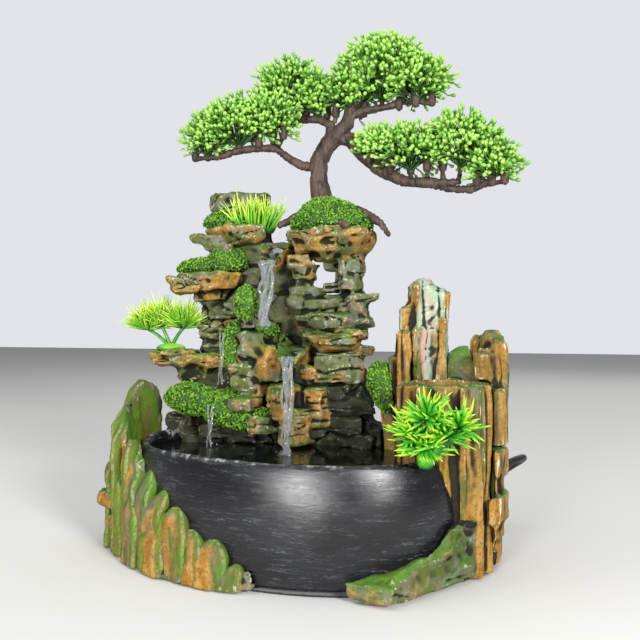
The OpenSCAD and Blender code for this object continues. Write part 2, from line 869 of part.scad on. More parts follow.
module led_housing() {
    color([0.85, 0.85, 0.86]) translate([column_at.x, column_at.y, led_z - 8]) difference() {
        cylinder(h = 8, r = 8.8, $fn = 32);
        translate([0, 0, 2]) cylinder(h = 8, r = 7, $fn = 32);
        translate([0, 0, -1]) cylinder(h = 6, r = 1.6, $fn = 16);
    }
}

module led_lens() {
    color([0.9, 0.95, 1, 0.4]) translate([column_at.x, column_at.y, led_z - 2]) intersection() {
        cylinder(h = 5, r = 6.9, $fn = 32);
        translate([0, 0, -6]) sphere(r = 11, $fn = 48);
    }
}

// Channels inside the rock for the leads: from the pump chamber to the lamp and to the gland.
module lead_channels() {
    translate([10, 50, lamp_lead_z]) rotate([0, 90, 0])
        cylinder(h = column_at.x - 10, d = channel_d, $fn = 16);
    translate([column_at.x, 53, lamp_lead_z]) rotate([90, 0, 0])
        cylinder(h = 53 - column_at.y, d = channel_d, $fn = 16);
    translate([column_at.x, column_at.y, lamp_lead_z - 3])
        cylinder(h = led_z - lamp_lead_z, d = channel_d, $fn = 16);
    translate([10, gland_at.y + 1, pump_lead_z]) rotate([0, 90, 0])
        cylinder(h = gland_at.x - 8, d = channel_d, $fn = 16);
}

lamp_route = [
    [column_at.x, column_at.y, led_z - 6.5], [column_at.x, column_at.y, 60],
    [column_at.x, column_at.y, 40], [column_at.x, column_at.y, 26],
    [column_at.x, column_at.y + 2, 21], [column_at.x, column_at.y + 7, lamp_lead_z],
    [column_at.x, 30, lamp_lead_z], [column_at.x, 44, lamp_lead_z],
    [column_at.x - 2, 48, lamp_lead_z], [column_at.x - 7, 50, lamp_lead_z],
    [48, 50, lamp_lead_z], [14, 50, lamp_lead_z], [3, 52, 25], [-4, 56, 34], [-8, 59, 40]
];
pump_route = [
    [-52, 60, 38.1], [-51, 61, 44], [-46, 63, 48.5], [-38, 65, 50], [-24, 65, 49], [-10, 62, 45],
    [4, 58, 40], [14, 56, pump_lead_z], [30, 56, pump_lead_z], [56, 56, pump_lead_z],
    [74, 55, pump_lead_z], gland_at
];

module lamp_lead() {
    color([0.1, 0.1, 0.1]) sweep(lamp_route, [for (p = lamp_route) 1.5], 8, [1, 0.2, 0.1]);
}

module pump_lead() {
    color([0.1, 0.1, 0.1]) sweep(pump_route, [for (p = pump_route) cord_d / 2], 10);
}

// Rubber gland at the back of the right rock, with a long tapered nose.
module along_gland(from) {
    translate(gland_at + gland_dir * from)
        rotate([0, acos(gland_dir.z), atan2(gland_dir.y, gland_dir.x)]) children();
}

module cord_gland() {
    color([0.08, 0.08, 0.08]) difference() {
        union() {
            along_gland(0) cylinder(h = gland_wall + 1, d = gland_d, $fn = 32);
            along_gland(gland_wall) cylinder(h = 2, d = flange_d, $fn = 32);
            along_gland(gland_wall + 1.5) cylinder(h = gland_nose, d1 = 9, d2 = cord_d + 2, $fn = 32);
        }
        along_gland(-1) cylinder(h = 40, d = cord_d, $fn = 32);
    }
}

cord_exit = gland_at + gland_dir * (gland_wall + gland_nose + 1.5);
coil_rin = coil_r - coil_turns * cord_d / 2;
coil_rout = coil_r + coil_turns * cord_d / 2;
coil_touch = [coil_at.x, coil_at.y - coil_rout + cord_d / 2, cord_d / 2];
cord_route = [
    cord_exit, [110.3, 82, 48.6], [113.2, 89.4, 48.6], [113, 97.3, 46.9], [109.7, 104.5, 43.5],
    [103.5, 109.9, 38.7], [95.7, 112.3, 32.6], [87.3, 111.6, 26.2], [76, 107.6, 17.5],
    [62.5, 101.9, 8.6], [49.5, 96.6, 3.8], [37, 92, 2.5], [24, 88.4, 2.25], coil_touch
];
module power_cord() {
    color([0.08, 0.08, 0.08]) sweep(cord_route, [for (p = cord_route) cord_d / 2], 10);
}

module power_cord_coil() {
    color([0.08, 0.08, 0.08]) translate([coil_at.x, coil_at.y, 0]) rotate_extrude($fn = 64)
        translate([coil_rin, 0]) square([coil_rout - coil_rin, coil_layers * cord_d]);
}

// Two-pin plug lying beside the coil, clear of the back cover's path.
plug_z = 7;                     // half its thickness, so it lies on the table
tail_bend = 20;                 // radius of the cord's last bend
tail_from = [coil_at.x - coil_rout + cord_d / 2, coil_at.y, 1.5 * cord_d];
plug_at = tail_from + [-tail_bend - 6, tail_bend, plug_z - tail_from.z];
tail_route = concat(
    [for (a = [0:15:90]) tail_from + [
        tail_bend * (cos(a) - 1), tail_bend * sin(a), (plug_z - tail_from.z) * a / 90
    ]],
    [plug_at]
);
module cord_tail() {
    color([0.08, 0.08, 0.08]) sweep(tail_route, [for (p = tail_route) cord_d / 2], 10);
}

module plug_body() {
    color([0.08, 0.08, 0.08]) difference() {
        union() {
            translate(plug_at) rotate([0, -90, 0])
                cylinder(h = 14, d1 = cord_d + 1.5, d2 = 11, $fn = 32);
            translate(plug_at - [14, 0, 0]) rotate([0, -90, 0]) linear_extrude(26)
                polygon([[-6, -13], [6, -13], [7, -9], [7, 9], [6, 13], [-6, 13], [-7, 9], [-7, -9]]);
        }
        translate(plug_at + [1, 0, 0]) rotate([0, -90, 0]) cylinder(h = 13, d = cord_d, $fn = 32);
        for (side = [-1, 1]) translate(plug_at + [-30, side * 9.5, 0]) rotate([0, -90, 0])
            cylinder(h = 11, d = 4, $fn = 32);
    }
}

module plug_pins() {
    color("silver") for (side = [-1, 1]) translate(plug_at + [-30, side * 9.5, 0])
        rotate([0, -90, 0]) cylinder(h = 29, d = 4, $fn = 32);
}

// Felt under the whole foot, cut a little inside its outline.
module base_felt() {
    color([0.1, 0.1, 0.1]) linear_extrude(felt) polygon([
        [-112, 34], [-112, -8], [-82, -44], [-66, -54], [-40, -60], [0, -67], [36, -68], [62, -67],
        [72, -52], [86, -26], [100, 8], [92, 52], [58, 66], [28, 76], [-80, 76], [-104, 64]
    ]);
}

base_felt();
bowl();
left_petal_rocks();
right_foot_rock();
right_rock();
cup_column();
rear_pillar();
side_pillars();
cup_boulder();
rockery_shell();
back_cover();
top_slab();
grass_slab();
upper_spout();
tree_platform();
arch_pillar();
hanging_rocks();
mossy_ledge();
crevice_rocks();
plant_ledge();
centre_rock();
lower_spout();
right_ledge_upper();
right_ledge_lower();
right_boulder();
foot_rocks();
moss_tree_mound();
moss_grass_slab();
moss_ledge();
moss_centre();
moss_bank();
moss_bush();
tree_trunk();
foliage_left();
foliage_upper_left();
foliage_top();
foliage_right();
foliage_right_tip();
grass_tuft();
needle_plant_left();
star_plant_right();
pump_body();
pump_front_cover();
pump_impeller();
impeller_shaft();
intake_grille();
flow_regulator();
suction_cups();
riser_hose();
spout_nozzle();
led_housing();
led_lens();
lamp_lead();
pump_lead();
cord_gland();
power_cord();
power_cord_coil();
cord_tail();
plug_body();
plug_pins();
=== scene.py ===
"""Looks of the tabletop water fountain, round its CAD parts.

Shapes are worked out in millimetres in the CAD frame, and Blender's objects are in metres."""
import math

import bmesh
import bpy
import numpy as np
from mathutils import Matrix, Vector


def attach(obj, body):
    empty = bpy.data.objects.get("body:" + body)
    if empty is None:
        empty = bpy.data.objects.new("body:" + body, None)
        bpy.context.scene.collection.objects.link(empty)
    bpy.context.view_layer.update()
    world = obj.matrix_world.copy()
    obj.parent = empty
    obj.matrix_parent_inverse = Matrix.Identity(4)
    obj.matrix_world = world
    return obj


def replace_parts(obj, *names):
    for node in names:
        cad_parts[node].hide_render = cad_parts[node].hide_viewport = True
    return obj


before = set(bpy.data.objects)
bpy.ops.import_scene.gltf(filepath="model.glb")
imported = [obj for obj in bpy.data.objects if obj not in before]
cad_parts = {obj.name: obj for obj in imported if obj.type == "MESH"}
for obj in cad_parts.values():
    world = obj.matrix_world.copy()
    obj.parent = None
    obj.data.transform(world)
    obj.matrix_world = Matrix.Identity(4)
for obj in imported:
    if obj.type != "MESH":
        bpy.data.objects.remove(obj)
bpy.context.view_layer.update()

MM = 0.001           # metres in a millimetre
GROUND = 1.0         # the felt's top, the lowest that rock and moss reach
scene = bpy.context.scene

# ---- Camera ----

VIEW_AZIMUTH = math.radians(18)
CAMERA_AT = Vector((0.1518, -0.4449, 0.136))
camera = bpy.data.objects.new("camera", bpy.data.cameras.new("camera"))
scene.collection.objects.link(camera)
camera.location = CAMERA_AT
camera.rotation_euler = (math.pi / 2, 0, VIEW_AZIMUTH)
camera.data.sensor_width = 36
camera.data.lens = 46.125
camera.data.clip_start = 0.01
scene.camera = camera


# ---- Mesh tools: numpy arrays in millimetres, built into objects in metres ----

def shown(mesh, material, body="root"):
    """A smooth object of a mesh, riding on a CAD body."""
    mesh.polygons.foreach_set("use_smooth", np.ones(len(mesh.polygons), bool))
    mesh.materials.clear()
    mesh.materials.append(material)
    obj = bpy.data.objects.new(mesh.name, mesh)
    scene.collection.objects.link(obj)
    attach(obj, body)
    return obj


def make(name, verts, faces, material, replaces=(), values=None):
    """An object from vertices in millimetres. values are float attributes."""
    mesh = bpy.data.meshes.new(name)
    mesh.from_pydata((np.asarray(verts, float) * MM).tolist(), [], faces)
    mesh.validate()
    mesh.update()
    obj = shown(mesh, material)
    for key, data in (values or {}).items():
        write_value(obj, key, data)
    if replaces:
        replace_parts(obj, *replaces)
    return obj


def write_value(obj, key, data):
    attribute = obj.data.attributes.new(key, "FLOAT", "POINT")
    attribute.data.foreach_set("value", np.asarray(data, np.float32))


def fetched(items, key, width, kind=np.float32):
    data = np.empty(len(items) * width, kind)
    items.foreach_get(key, data)
    return data.reshape(-1, width)


def points(mesh):
    return fetched(mesh.vertices, "co", 3).astype(float) / MM


def set_points(mesh, p):
    mesh.vertices.foreach_set("co", (p * MM).astype(np.float32).ravel())
    mesh.update()


def vertex_normals(mesh):
    return fetched(mesh.vertices, "normal", 3).astype(float)


def edge_pairs(mesh):
    return fetched(mesh.edges, "vertices", 2, np.int32)


def relaxed(p, pairs, rounds):
    """The points after some rounds of moving each to the mean of its neighbours."""
    a, b = pairs[:, 0], pairs[:, 1]
    count = np.bincount(a, minlength=len(p)) + np.bincount(b, minlength=len(p))
    count = np.maximum(count, 1)[:, None]
    for _ in range(rounds):
        total = np.stack([np.bincount(a, p[b, k], len(p)) + np.bincount(b, p[a, k], len(p))
                          for k in range(p.shape[1])], 1)
        p = 0.5 * p + 0.5 * total / count
    return p


def cad(node):
    """A CAD node's vertices in millimetres and its faces."""
    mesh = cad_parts[node].data
    return points(mesh), [tuple(poly.vertices) for poly in mesh.polygons]


def remeshed(parts, voxel, name):
    """One mesh with even faces round the given (vertices, faces)."""
    source = bpy.data.meshes.new(name + "_source")
    faces, base = [], 0
    for v, f in parts:
        faces += [[base + i for i in face] for face in f]
        base += len(v)
    source.from_pydata((np.vstack([v for v, _ in parts]) * MM).tolist(), [], faces)
    temp = bpy.data.objects.new(name + "_source", source)
    scene.collection.objects.link(temp)
    remesh = temp.modifiers.new("remesh", "REMESH")
    remesh.mode = "VOXEL"
    remesh.voxel_size = voxel * MM
    graph = bpy.context.evaluated_depsgraph_get()
    mesh = bpy.data.meshes.new_from_object(temp.evaluated_get(graph))
    bpy.data.objects.remove(temp)
    bpy.data.meshes.remove(source)
    mesh.name = name
    drop_crumbs(mesh, CRUMB)
    return mesh


CRUMB = 60           # vertices: a loose bit with fewer than this is dropped


def drop_crumbs(mesh, least):
    """Deletes loose bits with fewer vertices than least, which a remesh leaves where a wall is thin."""
    pairs = edge_pairs(mesh)
    own = np.arange(len(mesh.vertices))
    while True:
        new = own.copy()
        np.minimum.at(new, pairs[:, 0], own[pairs[:, 1]])
        np.minimum.at(new, pairs[:, 1], own[pairs[:, 0]])
        new = new[new]
        if (new == own).all():
            break
        own = new
    small = np.bincount(own, minlength=len(own))[own] < least
    if small.any():
        bm = bmesh.new()
        bm.from_mesh(mesh)
        bm.verts.ensure_lookup_table()
        bmesh.ops.delete(bm, geom=[bm.verts[i] for i in np.flatnonzero(small)], context="VERTS")
        bm.to_mesh(mesh)
        bm.free()


# ---- Noise on a lattice, the same each run ----

def lattice(i, j, k, seed):
    """A number from 0 to 1 for each whole-numbered place."""
    h = i.astype(np.uint32) * np.uint32(374761393) + j.astype(np.uint32) * np.uint32(668265263)
    h = h + k.astype(np.uint32) * np.uint32(1274126177) + np.uint32(seed * 7919 % 1000003)
    h = (h ^ (h >> np.uint32(13))) * np.uint32(1103515245)
    h = (h ^ (h >> np.uint32(15))) * np.uint32(2246822519)
    return ((h ^ (h >> np.uint32(16))) & np.uint32(0xFFFFFF)) / float(0xFFFFFF)


def noise(p, size, seed):
    """Smooth noise from -1 to 1, with features of the given size in mm."""
    q = p / np.asarray(size, float)
    i = np.floor(q).astype(np.int64)
    f = q - i
    f = f * f * (3 - 2 * f)
    total = 0
    for corner in range(8):
        d = [(corner >> k) & 1 for k in range(3)]
        w = 1
        for k in range(3):
            w = w * (f[:, k] if d[k] else 1 - f[:, k])
        total = total + w * lattice(i[:, 0] + d[0], i[:, 1] + d[1], i[:, 2] + d[2], seed)
    return total * 2 - 1


def fractal(p, size, seed, octaves=4):
    """Noise with finer and weaker noise on it."""
    size = np.asarray(size, float)
    return sum(noise(p, size / 2 ** o, seed + 17 * o) / 2 ** o for o in range(octaves))


def scallops(p, size, seed, tilt=0.5):
    """Shallow dishes with sharp ridges between them, as on chipped stone: 0 at the ridges, down to -1."""
    q = p / np.asarray(size, float)
    i = np.floor(q).astype(np.int64)
    low = np.full(len(p), 9.0)
    for dx in (-1, 0, 1):
        for dy in (-1, 0, 1):
            for dz in (-1, 0, 1):
                c = i + (dx, dy, dz)
                h = [lattice(c[:, 0], c[:, 1], c[:, 2], seed + s) for s in range(6)]
                v = q - (c + np.stack(h[:3], 1))
                lean = (v * (np.stack([h[3], h[4], h[5]], 1) - 0.5)).sum(1) * 2 * tilt
                low = np.minimum(low, (v * v).sum(1) + lean + 0.35 * h[5])
    return np.clip(low, -0.6, 1.0) - 1.0


def ramp(x, low, high):
    """0 below low, 1 above high, and smooth between them."""
    t = np.clip((x - low) / (high - low), 0, 1)
    return t * t * (3 - 2 * t)


# ---- Shader tools ----

class Shader:
    """A node material. put() adds a node: inputs by name or index, each a value or another socket."""

    def __init__(self, name):
        self.material = bpy.data.materials.new(name)
        self.material.use_nodes = True
        self.tree = self.material.node_tree
        self.tree.nodes.clear()
        self.where = self.put("ShaderNodeTexCoord").outputs["Object"]

    def put(self, kind, inputs=None, **settings):
        node = self.tree.nodes.new(kind)
        for key, value in settings.items():
            setattr(node, key, value)
        for key, value in (inputs or {}).items():
            if isinstance(value, bpy.types.NodeSocket):
                self.tree.links.new(value, node.inputs[key])
            else:
                node.inputs[key].default_value = value
        return node

    def noise(self, scale, detail=4, rough=0.55, vector=None, distortion=0.0):
        inputs = {"Vector": vector or self.where, "Scale": scale, "Detail": detail, "Roughness": rough,
                  "Distortion": distortion}
        return self.put("ShaderNodeTexNoise", inputs).outputs["Fac"]

    def stretched(self, x, y, z):
        """The object's own coordinates, scaled along each axis."""
        inputs = {0: self.where, 1: (x, y, z)}
        return self.put("ShaderNodeVectorMath", inputs, operation="MULTIPLY").outputs[0]

    def value(self, name):
        return self.put("ShaderNodeAttribute", attribute_name=name).outputs["Fac"]

    def height(self, vector):
        return self.put("ShaderNodeSeparateXYZ", {0: vector}).outputs[2]

    def math(self, operation, a, b, clamp=False):
        return self.put("ShaderNodeMath", {0: a, 1: b}, operation=operation, use_clamp=clamp).outputs[0]

    def plus(self, a, b):
        return self.math("ADD", a, b)

    def times(self, a, b):
        return self.math("MULTIPLY", a, b)

    def swayed(self, x, by, amount):
        """x, moved up and down by a noise about its middle of 0.5."""
        return self.plus(x, self.times(self.math("SUBTRACT", by, 0.5), amount))

    def span(self, x, low, high, to_low=0.0, to_high=1.0):
        """x from low..high mapped to to_low..to_high, clamped and smooth."""
        inputs = {"Value": x, "From Min": low, "From Max": high, "To Min": to_low, "To Max": to_high}
        return self.put("ShaderNodeMapRange", inputs, interpolation_type="SMOOTHSTEP").outputs[0]

    def mix(self, factor, a, b):
        return self.put("ShaderNodeMix", {0: factor, 6: a, 7: b}, data_type="RGBA").outputs[2]

    def bump(self, height, strength, distance):
        inputs = {"Height": height, "Strength": strength, "Distance": distance}
        return self.put("ShaderNodeBump", inputs).outputs["Normal"]

    def finish(self, inputs):
        surface = self.put("ShaderNodeBsdfPrincipled", inputs)
        self.put("ShaderNodeOutputMaterial", {"Surface": surface.outputs[0]})
        return self.material


def rgb(r, g, b):
    """A colour from 0..255 display values."""
    def linear(c):
        c /= 255
        return c / 12.92 if c <= 0.04045 else ((c + 0.055) / 1.055) ** 2.4
    return (linear(r), linear(g), linear(b), 1)


OCHRE = rgb(142, 99, 33)
OCHRE_PALE = rgb(172, 135, 70)
OLIVE = rgb(78, 86, 34)
LEAF_PAINT = rgb(76, 118, 24)
GREY = rgb(112, 113, 96)
STONE_DARK = rgb(34, 36, 26)
CREAM = rgb(214, 206, 178)
CREVICE_WASH_AND_SHADE = rgb(16, 17, 12)


def rock_material(name, ochre, green, grey, cream, tall=1.0, dark=1.0, tints=0.0, edges=False, dark_below=0.0):
    """Painted resin rock: ochre and grey washes on its sides, green on tops, a dark wash and painted shade
    in its hollows, dry-brushed edges.

    ochre, green, grey and cream are how much of each there is, and tall stretches the patches upright.
    tints is how much painted pale green and pink light from the LED in the cup lies over it, the last
    argument how much darker it is below about 135 mm up, and edges paints green to cream borders by the
    attribute "edge"."""
    s = Shader(name)
    up = s.height(s.put("ShaderNodeNewGeometry").outputs["Normal"])
    patches = s.stretched(1, 1, 1 / tall)
    broad = s.noise(38, 3, 0.5, patches)
    medium = s.noise(120, 4, 0.6, patches)
    fine = s.noise(520, 5, 0.65)
    mottled = s.plus(s.times(broad, 0.6), s.times(medium, 0.4))
    side = s.math("SUBTRACT", 1.0, s.span(up, 0.35, 0.8))
    warm = s.times(s.span(mottled, 0.62 - 0.3 * ochre, 0.72 - 0.3 * ochre), side)
    base = s.mix(s.span(medium, 0.35, 0.65), OLIVE, GREY)
    base = s.mix(s.span(s.noise(60, 3, 0.5, patches), 0.66 - 0.4 * grey, 0.8 - 0.4 * grey), base, GREY)
    ochres = s.mix(s.span(s.noise(210, 4, 0.6, patches), 0.35, 0.68), OCHRE, OCHRE_PALE)
    ochres = s.mix(s.span(fine, 0.46, 0.68, 0, 0.7), ochres, rgb(88, 58, 20))
    base = s.mix(warm, base, ochres)
    top = s.span(s.swayed(up, medium, 1.6), 1.0 - 0.9 * green, 1.25 - 0.9 * green)
    paint = s.mix(s.span(fine, 0.35, 0.65), LEAF_PAINT, rgb(58, 98, 24))
    base = s.mix(s.times(top, 0.9), base, paint)
    low = s.times(s.span(s.noise(70, 4, 0.6), 0.5, 0.66), 0.75 * green)
    base = s.mix(low, base, s.mix(s.span(medium, 0.4, 0.6), rgb(88, 120, 34), rgb(52, 66, 22)))
    # Painted light: pale green and pink light from the LED in the cup, laid over the rock in patches.
    if tints:
        painted_led_light = s.mix(s.span(s.noise(55, 2, 0.5, patches), 0.42, 0.6), rgb(150, 200, 178), rgb(196, 160, 168))
        base = s.mix(s.times(s.span(s.noise(85, 3, 0.5, patches), 0.5, 0.6), tints), base, painted_led_light)
    # Darker towards the bottom, below about 135 mm up.
    if dark_below:
        height = s.swayed(s.height(s.where), broad, 0.06)
        base = s.mix(s.span(height, 0.135, 0.09, 0, dark_below), base, rgb(20, 22, 15))
    # A dark wash and painted shade: near-black in the hollows, where the surface lies below its smoothed
    # shape.
    hollow = s.swayed(s.value("hollow"), fine, 0.5)
    base = s.mix(s.span(s.noise(26, 4, 0.6, patches), 0.5, 0.68, 0, 0.55), base, rgb(44, 48, 24))
    base = s.mix(s.span(hollow, 0.0, -0.6, 0, 0.96 * dark), base, CREVICE_WASH_AND_SHADE)
    strokes = s.times(s.span(s.noise(520, 6, 0.75, patches), 0.5, 0.64), cream)
    base = s.mix(s.times(s.span(s.value("wear"), 0.42, 1.1), strokes), base, CREAM)
    base = s.mix(s.span(s.noise(1400, 2, 0.5), 0.62, 0.8, 0, 0.35), base, STONE_DARK)
    if edges:
        edge = s.swayed(s.value("edge"), medium, 0.35)
        border = s.mix(s.span(medium, 0.4, 0.6), LEAF_PAINT, OLIVE)
        base = s.mix(s.span(edge, 0.48, 0.78, 0, 0.85), base, border)
        worn = s.times(s.span(edge, 0.86, 0.98, 0, 0.5), s.span(fine, 0.36, 0.6))
        base = s.mix(worn, base, rgb(168, 162, 124))
    grain = s.plus(s.times(fine, 0.7), s.times(s.noise(1500, 3, 0.6), 0.3))
    return s.finish({"Base Color": base, "Roughness": s.span(fine, 0.3, 0.7, 0.62, 0.85),
                     "Specular IOR Level": 0.22, "Normal": s.bump(grain, 0.6, 0.0008)})


# ---- Tubes and scattered copies ----

def tube(path, radii, sides=6):
    """A closed tube: its vertices, how far along it each one is (0 to 1), and its triangles."""
    path = np.asarray(path, float)
    radii = np.broadcast_to(np.asarray(radii, float), len(path))
    tangent = np.gradient(path, axis=0)
    tangent /= np.linalg.norm(tangent, axis=1)[:, None]
    side = np.cross(tangent[0], (0.31, 0.52, 0.79))
    turn = np.arange(sides) * 2 * math.pi / sides
    rings = []
    for at, way, radius in zip(path, tangent, radii):
        side = side - way * (side @ way)
        side /= np.linalg.norm(side)
        round_it = np.cos(turn)[:, None] * side + np.sin(turn)[:, None] * np.cross(way, side)
        rings.append(at + radius * round_it)
    faces = []
    for i in range(len(path) - 1):
        for k in range(sides):
            a, b = i * sides + k, i * sides + (k + 1) % sides
            faces += [(a, b, b + sides), (a, b + sides, a + sides)]
    last = (len(path) - 1) * sides
    for k in range(1, sides - 1):
        faces += [(0, k + 1, k), (last, last + k, last + k + 1)]
    return np.vstack(rings), np.repeat(np.linspace(0, 1, len(path)), sides), np.array(faces)


def joined(parts):
    """Several (vertices, values, triangles) as one."""
    counts = np.cumsum([0] + [len(v) for v, _, _ in parts])
    return (np.vstack([v for v, _, _ in parts]), np.concatenate([e for _, e, _ in parts]),
            np.vstack([f + base for (_, _, f), base in zip(parts, counts)]))


def aimed(ways, rng):
    """Rotation matrices that turn +Z to each of the ways, with a random roll."""
    z = ways / np.linalg.norm(ways, axis=1)[:, None]
    x = np.cross(z, rng.normal(size=z.shape))
    x /= np.linalg.norm(x, axis=1)[:, None]
    return np.stack([x, np.cross(z, x), z], 2)


def copies(shapes, at, ways, scale, rng):
    """Copies of the shapes in turn, one at each point: vertices, values, a random tint each, triangles."""
    parts, tints = [], []
    turn = aimed(ways, rng)
    for i, (v, e, f) in enumerate(shapes):
        own = np.arange(i, len(at), len(shapes))
        if not len(own):
            continue
        placed = np.einsum("nij,vj->nvi", turn[own], v) * scale[own, None, None] + at[own, None, :]
        steps = (np.arange(len(own)) * len(v))[:, None, None]
        parts.append((placed.reshape(-1, 3), np.tile(e, len(own)), (f[None] + steps).reshape(-1, 3)))
        tints.append(np.repeat(rng.random(len(own)), len(v)))
    return joined(parts) + (np.concatenate(tints),)


def bezier(a, b, c, count):
    """Points on the curve from a to c that b pulls towards it."""
    t = np.linspace(0, 1, count)[:, None]
    return (1 - t) ** 2 * np.asarray(a) + 2 * t * (1 - t) * np.asarray(b) + t ** 2 * np.asarray(c)


def on_surface(mesh, spacing, rng):
    """Random points on a mesh, about that far apart, with their normals, and the mesh's triangles."""
    mesh.calc_loop_triangles()
    tri = fetched(mesh.loop_triangles, "vertices", 3, np.int32)
    corner = points(mesh)[tri]
    cross = np.cross(corner[:, 1] - corner[:, 0], corner[:, 2] - corner[:, 0])
    area = np.linalg.norm(cross, axis=1) / 2
    count = int(area.sum() / spacing ** 2)
    pick = rng.choice(len(area), count, p=area / area.sum())
    u, v = rng.random((2, count, 1))
    u, v = np.where(u + v > 1, 1 - u, u), np.where(u + v > 1, 1 - v, v)
    at = corner[pick, 0] * (1 - u - v) + corner[pick, 1] * u + corner[pick, 2] * v
    return at, cross[pick] / np.maximum(2 * area[pick, None], 1e-9), tri


# ---- Rock ----

def rock(node, material, slot, voxel, **look):
    """A CAD rock node with a chipped, layered surface."""
    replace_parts(chipped(remeshed([cad(node)], voxel, node + "_rock"), material, slot, voxel, **look), node)


def chipped(mesh, material, slot, voxel, seed, chip=(13, 13, 8), depth=2.2, layers=0.5, layer_height=5.0,
            flute=0.0, taper=0.0, jag=0.0, still=None, body="root"):
    """The object made from an even mesh. chip is the size of its chipped faces in mm and depth their depth;
    layers is the depth of the bedding cracks and layer_height their spacing; flute is the depth of upright
    grooves; taper how much narrower its underside is; jag how uneven its outline is. still(p) gives where
    it keeps the CAD surface."""
    pairs = edge_pairs(mesh)
    p = relaxed(points(mesh), pairs, 2)
    low, high = p.min(0), p.max(0)
    if taper:
        t = (high[2] - p[:, 2]) / (high[2] - low[2])
        back = np.array([(low[0] + high[0]) / 2, high[1] - 6])
        narrow = taper * ramp(t, 0.15, 1.0) * (0.8 + 0.5 * noise(p, 12, seed))
        p[:, :2] = back + (p[:, :2] - back) * (1 - narrow)[:, None]
    set_points(mesh, p)
    n = relaxed(vertex_normals(mesh), pairs, 3)
    n /= np.maximum(np.linalg.norm(n, axis=1), 1e-6)[:, None]
    warp = np.stack([fractal(p, 24, seed + s, 2) for s in (40, 50, 60)], 1) * 3.0
    push = depth * scallops(p + warp, chip, seed) + 0.35 * depth
    push += 0.35 * depth * scallops(p + 2 * warp, np.asarray(chip) * 0.45, seed + 5)
    bed = noise(p + 1.5 * warp, (26, 26, layer_height), seed + 70)
    push -= layers * 2.2 * (1 - ramp(np.abs(bed), 0.0, 0.14)) * (np.abs(n[:, 2]) < 0.75)
    if flute:
        ridge = np.abs(noise(p + 0.5 * warp, (6.5, 6.5, 70), seed + 80))
        push -= flute * 2.0 * (1 - ramp(ridge, 0.0, 0.3))
    push += 0.175 * fractal(p, 3.5, seed + 90, 2)
    if jag:
        side = np.sqrt(np.clip(1 - n[:, 2] ** 2, 0, 1))
        steps = noise(p * (1, 1, 0.3), 15, seed + 95) + 0.4 * noise(p * (1, 1, 0.5), 6, seed + 96)
        push += jag * steps * side
    if still is not None:
        push = push * (1 - still(p))
    p = p + n * push[:, None]
    p[:, 2] = np.maximum(p[:, 2], GROUND)
    set_points(mesh, p)
    obj = shown(mesh, material, body)
    n = vertex_normals(mesh)
    write_value(obj, "wear", ((p - relaxed(p, pairs, 5)) * n).sum(1) / (0.2 * voxel))
    write_value(obj, "hollow", ((p - relaxed(p, pairs, 18)) * n).sum(1) / (0.6 * voxel))
    return obj


def in_box(p, low, high, fade=3.0):
    """1 inside a box, and 0 from fade mm outside it."""
    outside = np.maximum(np.maximum(np.asarray(low) - p, p - np.asarray(high)), 0)
    return 1 - ramp(np.sqrt((outside ** 2).sum(1)), 0.2, fade)


PETALS = rock_material("petal_rock", ochre=0.5, green=0.5, grey=0.2, cream=0.7, tall=3.0)
GREEN_ROCK = rock_material("green_rock", ochre=0.3, green=0.98, grey=0.3, cream=0.5)
COLUMN = rock_material("column_rock", ochre=0.74, green=0.42, grey=0.15, cream=0.8, tall=5.0)
PILLAR = rock_material("pillar_rock", ochre=0.66, green=0.35, grey=0.3, cream=1.0, tall=5.0, tints=0.55)
DARK_ROCK = rock_material("dark_rock", ochre=0.1, green=0.5, grey=0.25, cream=0.3, dark_below=0.85)
GREY_ROCK = rock_material("grey_rock", ochre=0.42, green=0.5, grey=0.6, cream=0.75)
OCHRE_ROCK = rock_material("ochre_rock", ochre=0.66, green=0.68, grey=0.35, cream=0.8)


def shell_still(p):
    """The core keeps its CAD surface in the pump chamber and round the back cover's seat."""
    chamber = in_box(p, (-70, 38, 6), (21, 79, 68))
    cover = in_box(p, (-71, 71, 9), (23, 84, 67), 2.0)
    return np.maximum(chamber, cover)


def cup_still(p):
    """The column keeps its CAD surface inside the cup."""
    return in_box(p, (58, -20, 80), (98, 20, 102), 1.0) * (np.hypot(p[:, 0] - 78, p[:, 1]) < 20)


rock("left_petal_rocks", PETALS, "rock_petals", 1.2, chip=(9, 9, 9), depth=1.0, layers=0.3, seed=11)
rock("right_foot_rock", GREEN_ROCK, "rock_green", 1.2, chip=(16, 16, 10), layers=0.3, jag=1.6, seed=12)
rock("right_rock", COLUMN, "rock_column", 1.4, chip=(13, 13, 40), depth=2.4, layers=0.0, flute=0.55, seed=13)
rock("cup_column", COLUMN, "rock_column", 1.2, chip=(12, 12, 44), depth=1.9, layers=0.0, flute=0.5,
     still=cup_still, seed=14)
rock("rear_pillar", PILLAR, "rock_column", 1.1, chip=(9, 9, 24), depth=1.5, layers=0.2, flute=0.6, seed=15)
rock("side_pillars", COLUMN, "rock_column", 1.1, chip=(9, 9, 26), depth=1.3, layers=0.0, flute=0.3, seed=16)
rock("cup_boulder", GREEN_ROCK, "rock_green", 1.1, chip=(9, 9, 9), depth=0.8, layers=0.0, seed=17)
rock("rockery_shell", DARK_ROCK, "rock_dark", 1.7, chip=(20, 20, 9), depth=3.6, layers=1.2, layer_height=7,
     still=shell_still, seed=18)
for node in ("top_slab", "arch_pillar", "crevice_rocks", "right_ledge_upper", "right_boulder"):
    rock(node, GREY_ROCK, "rock_grey", 1.1, taper=0.16, jag=2.0, layers=0.9, seed=19)
for node in ("grass_slab", "tree_platform", "mossy_ledge", "plant_ledge", "right_ledge_lower"):
    rock(node, OCHRE_ROCK, "rock_ochre", 1.1, chip=(15, 15, 10), depth=2.8, taper=0.3, jag=2.8, layers=0.6,
         seed=20)
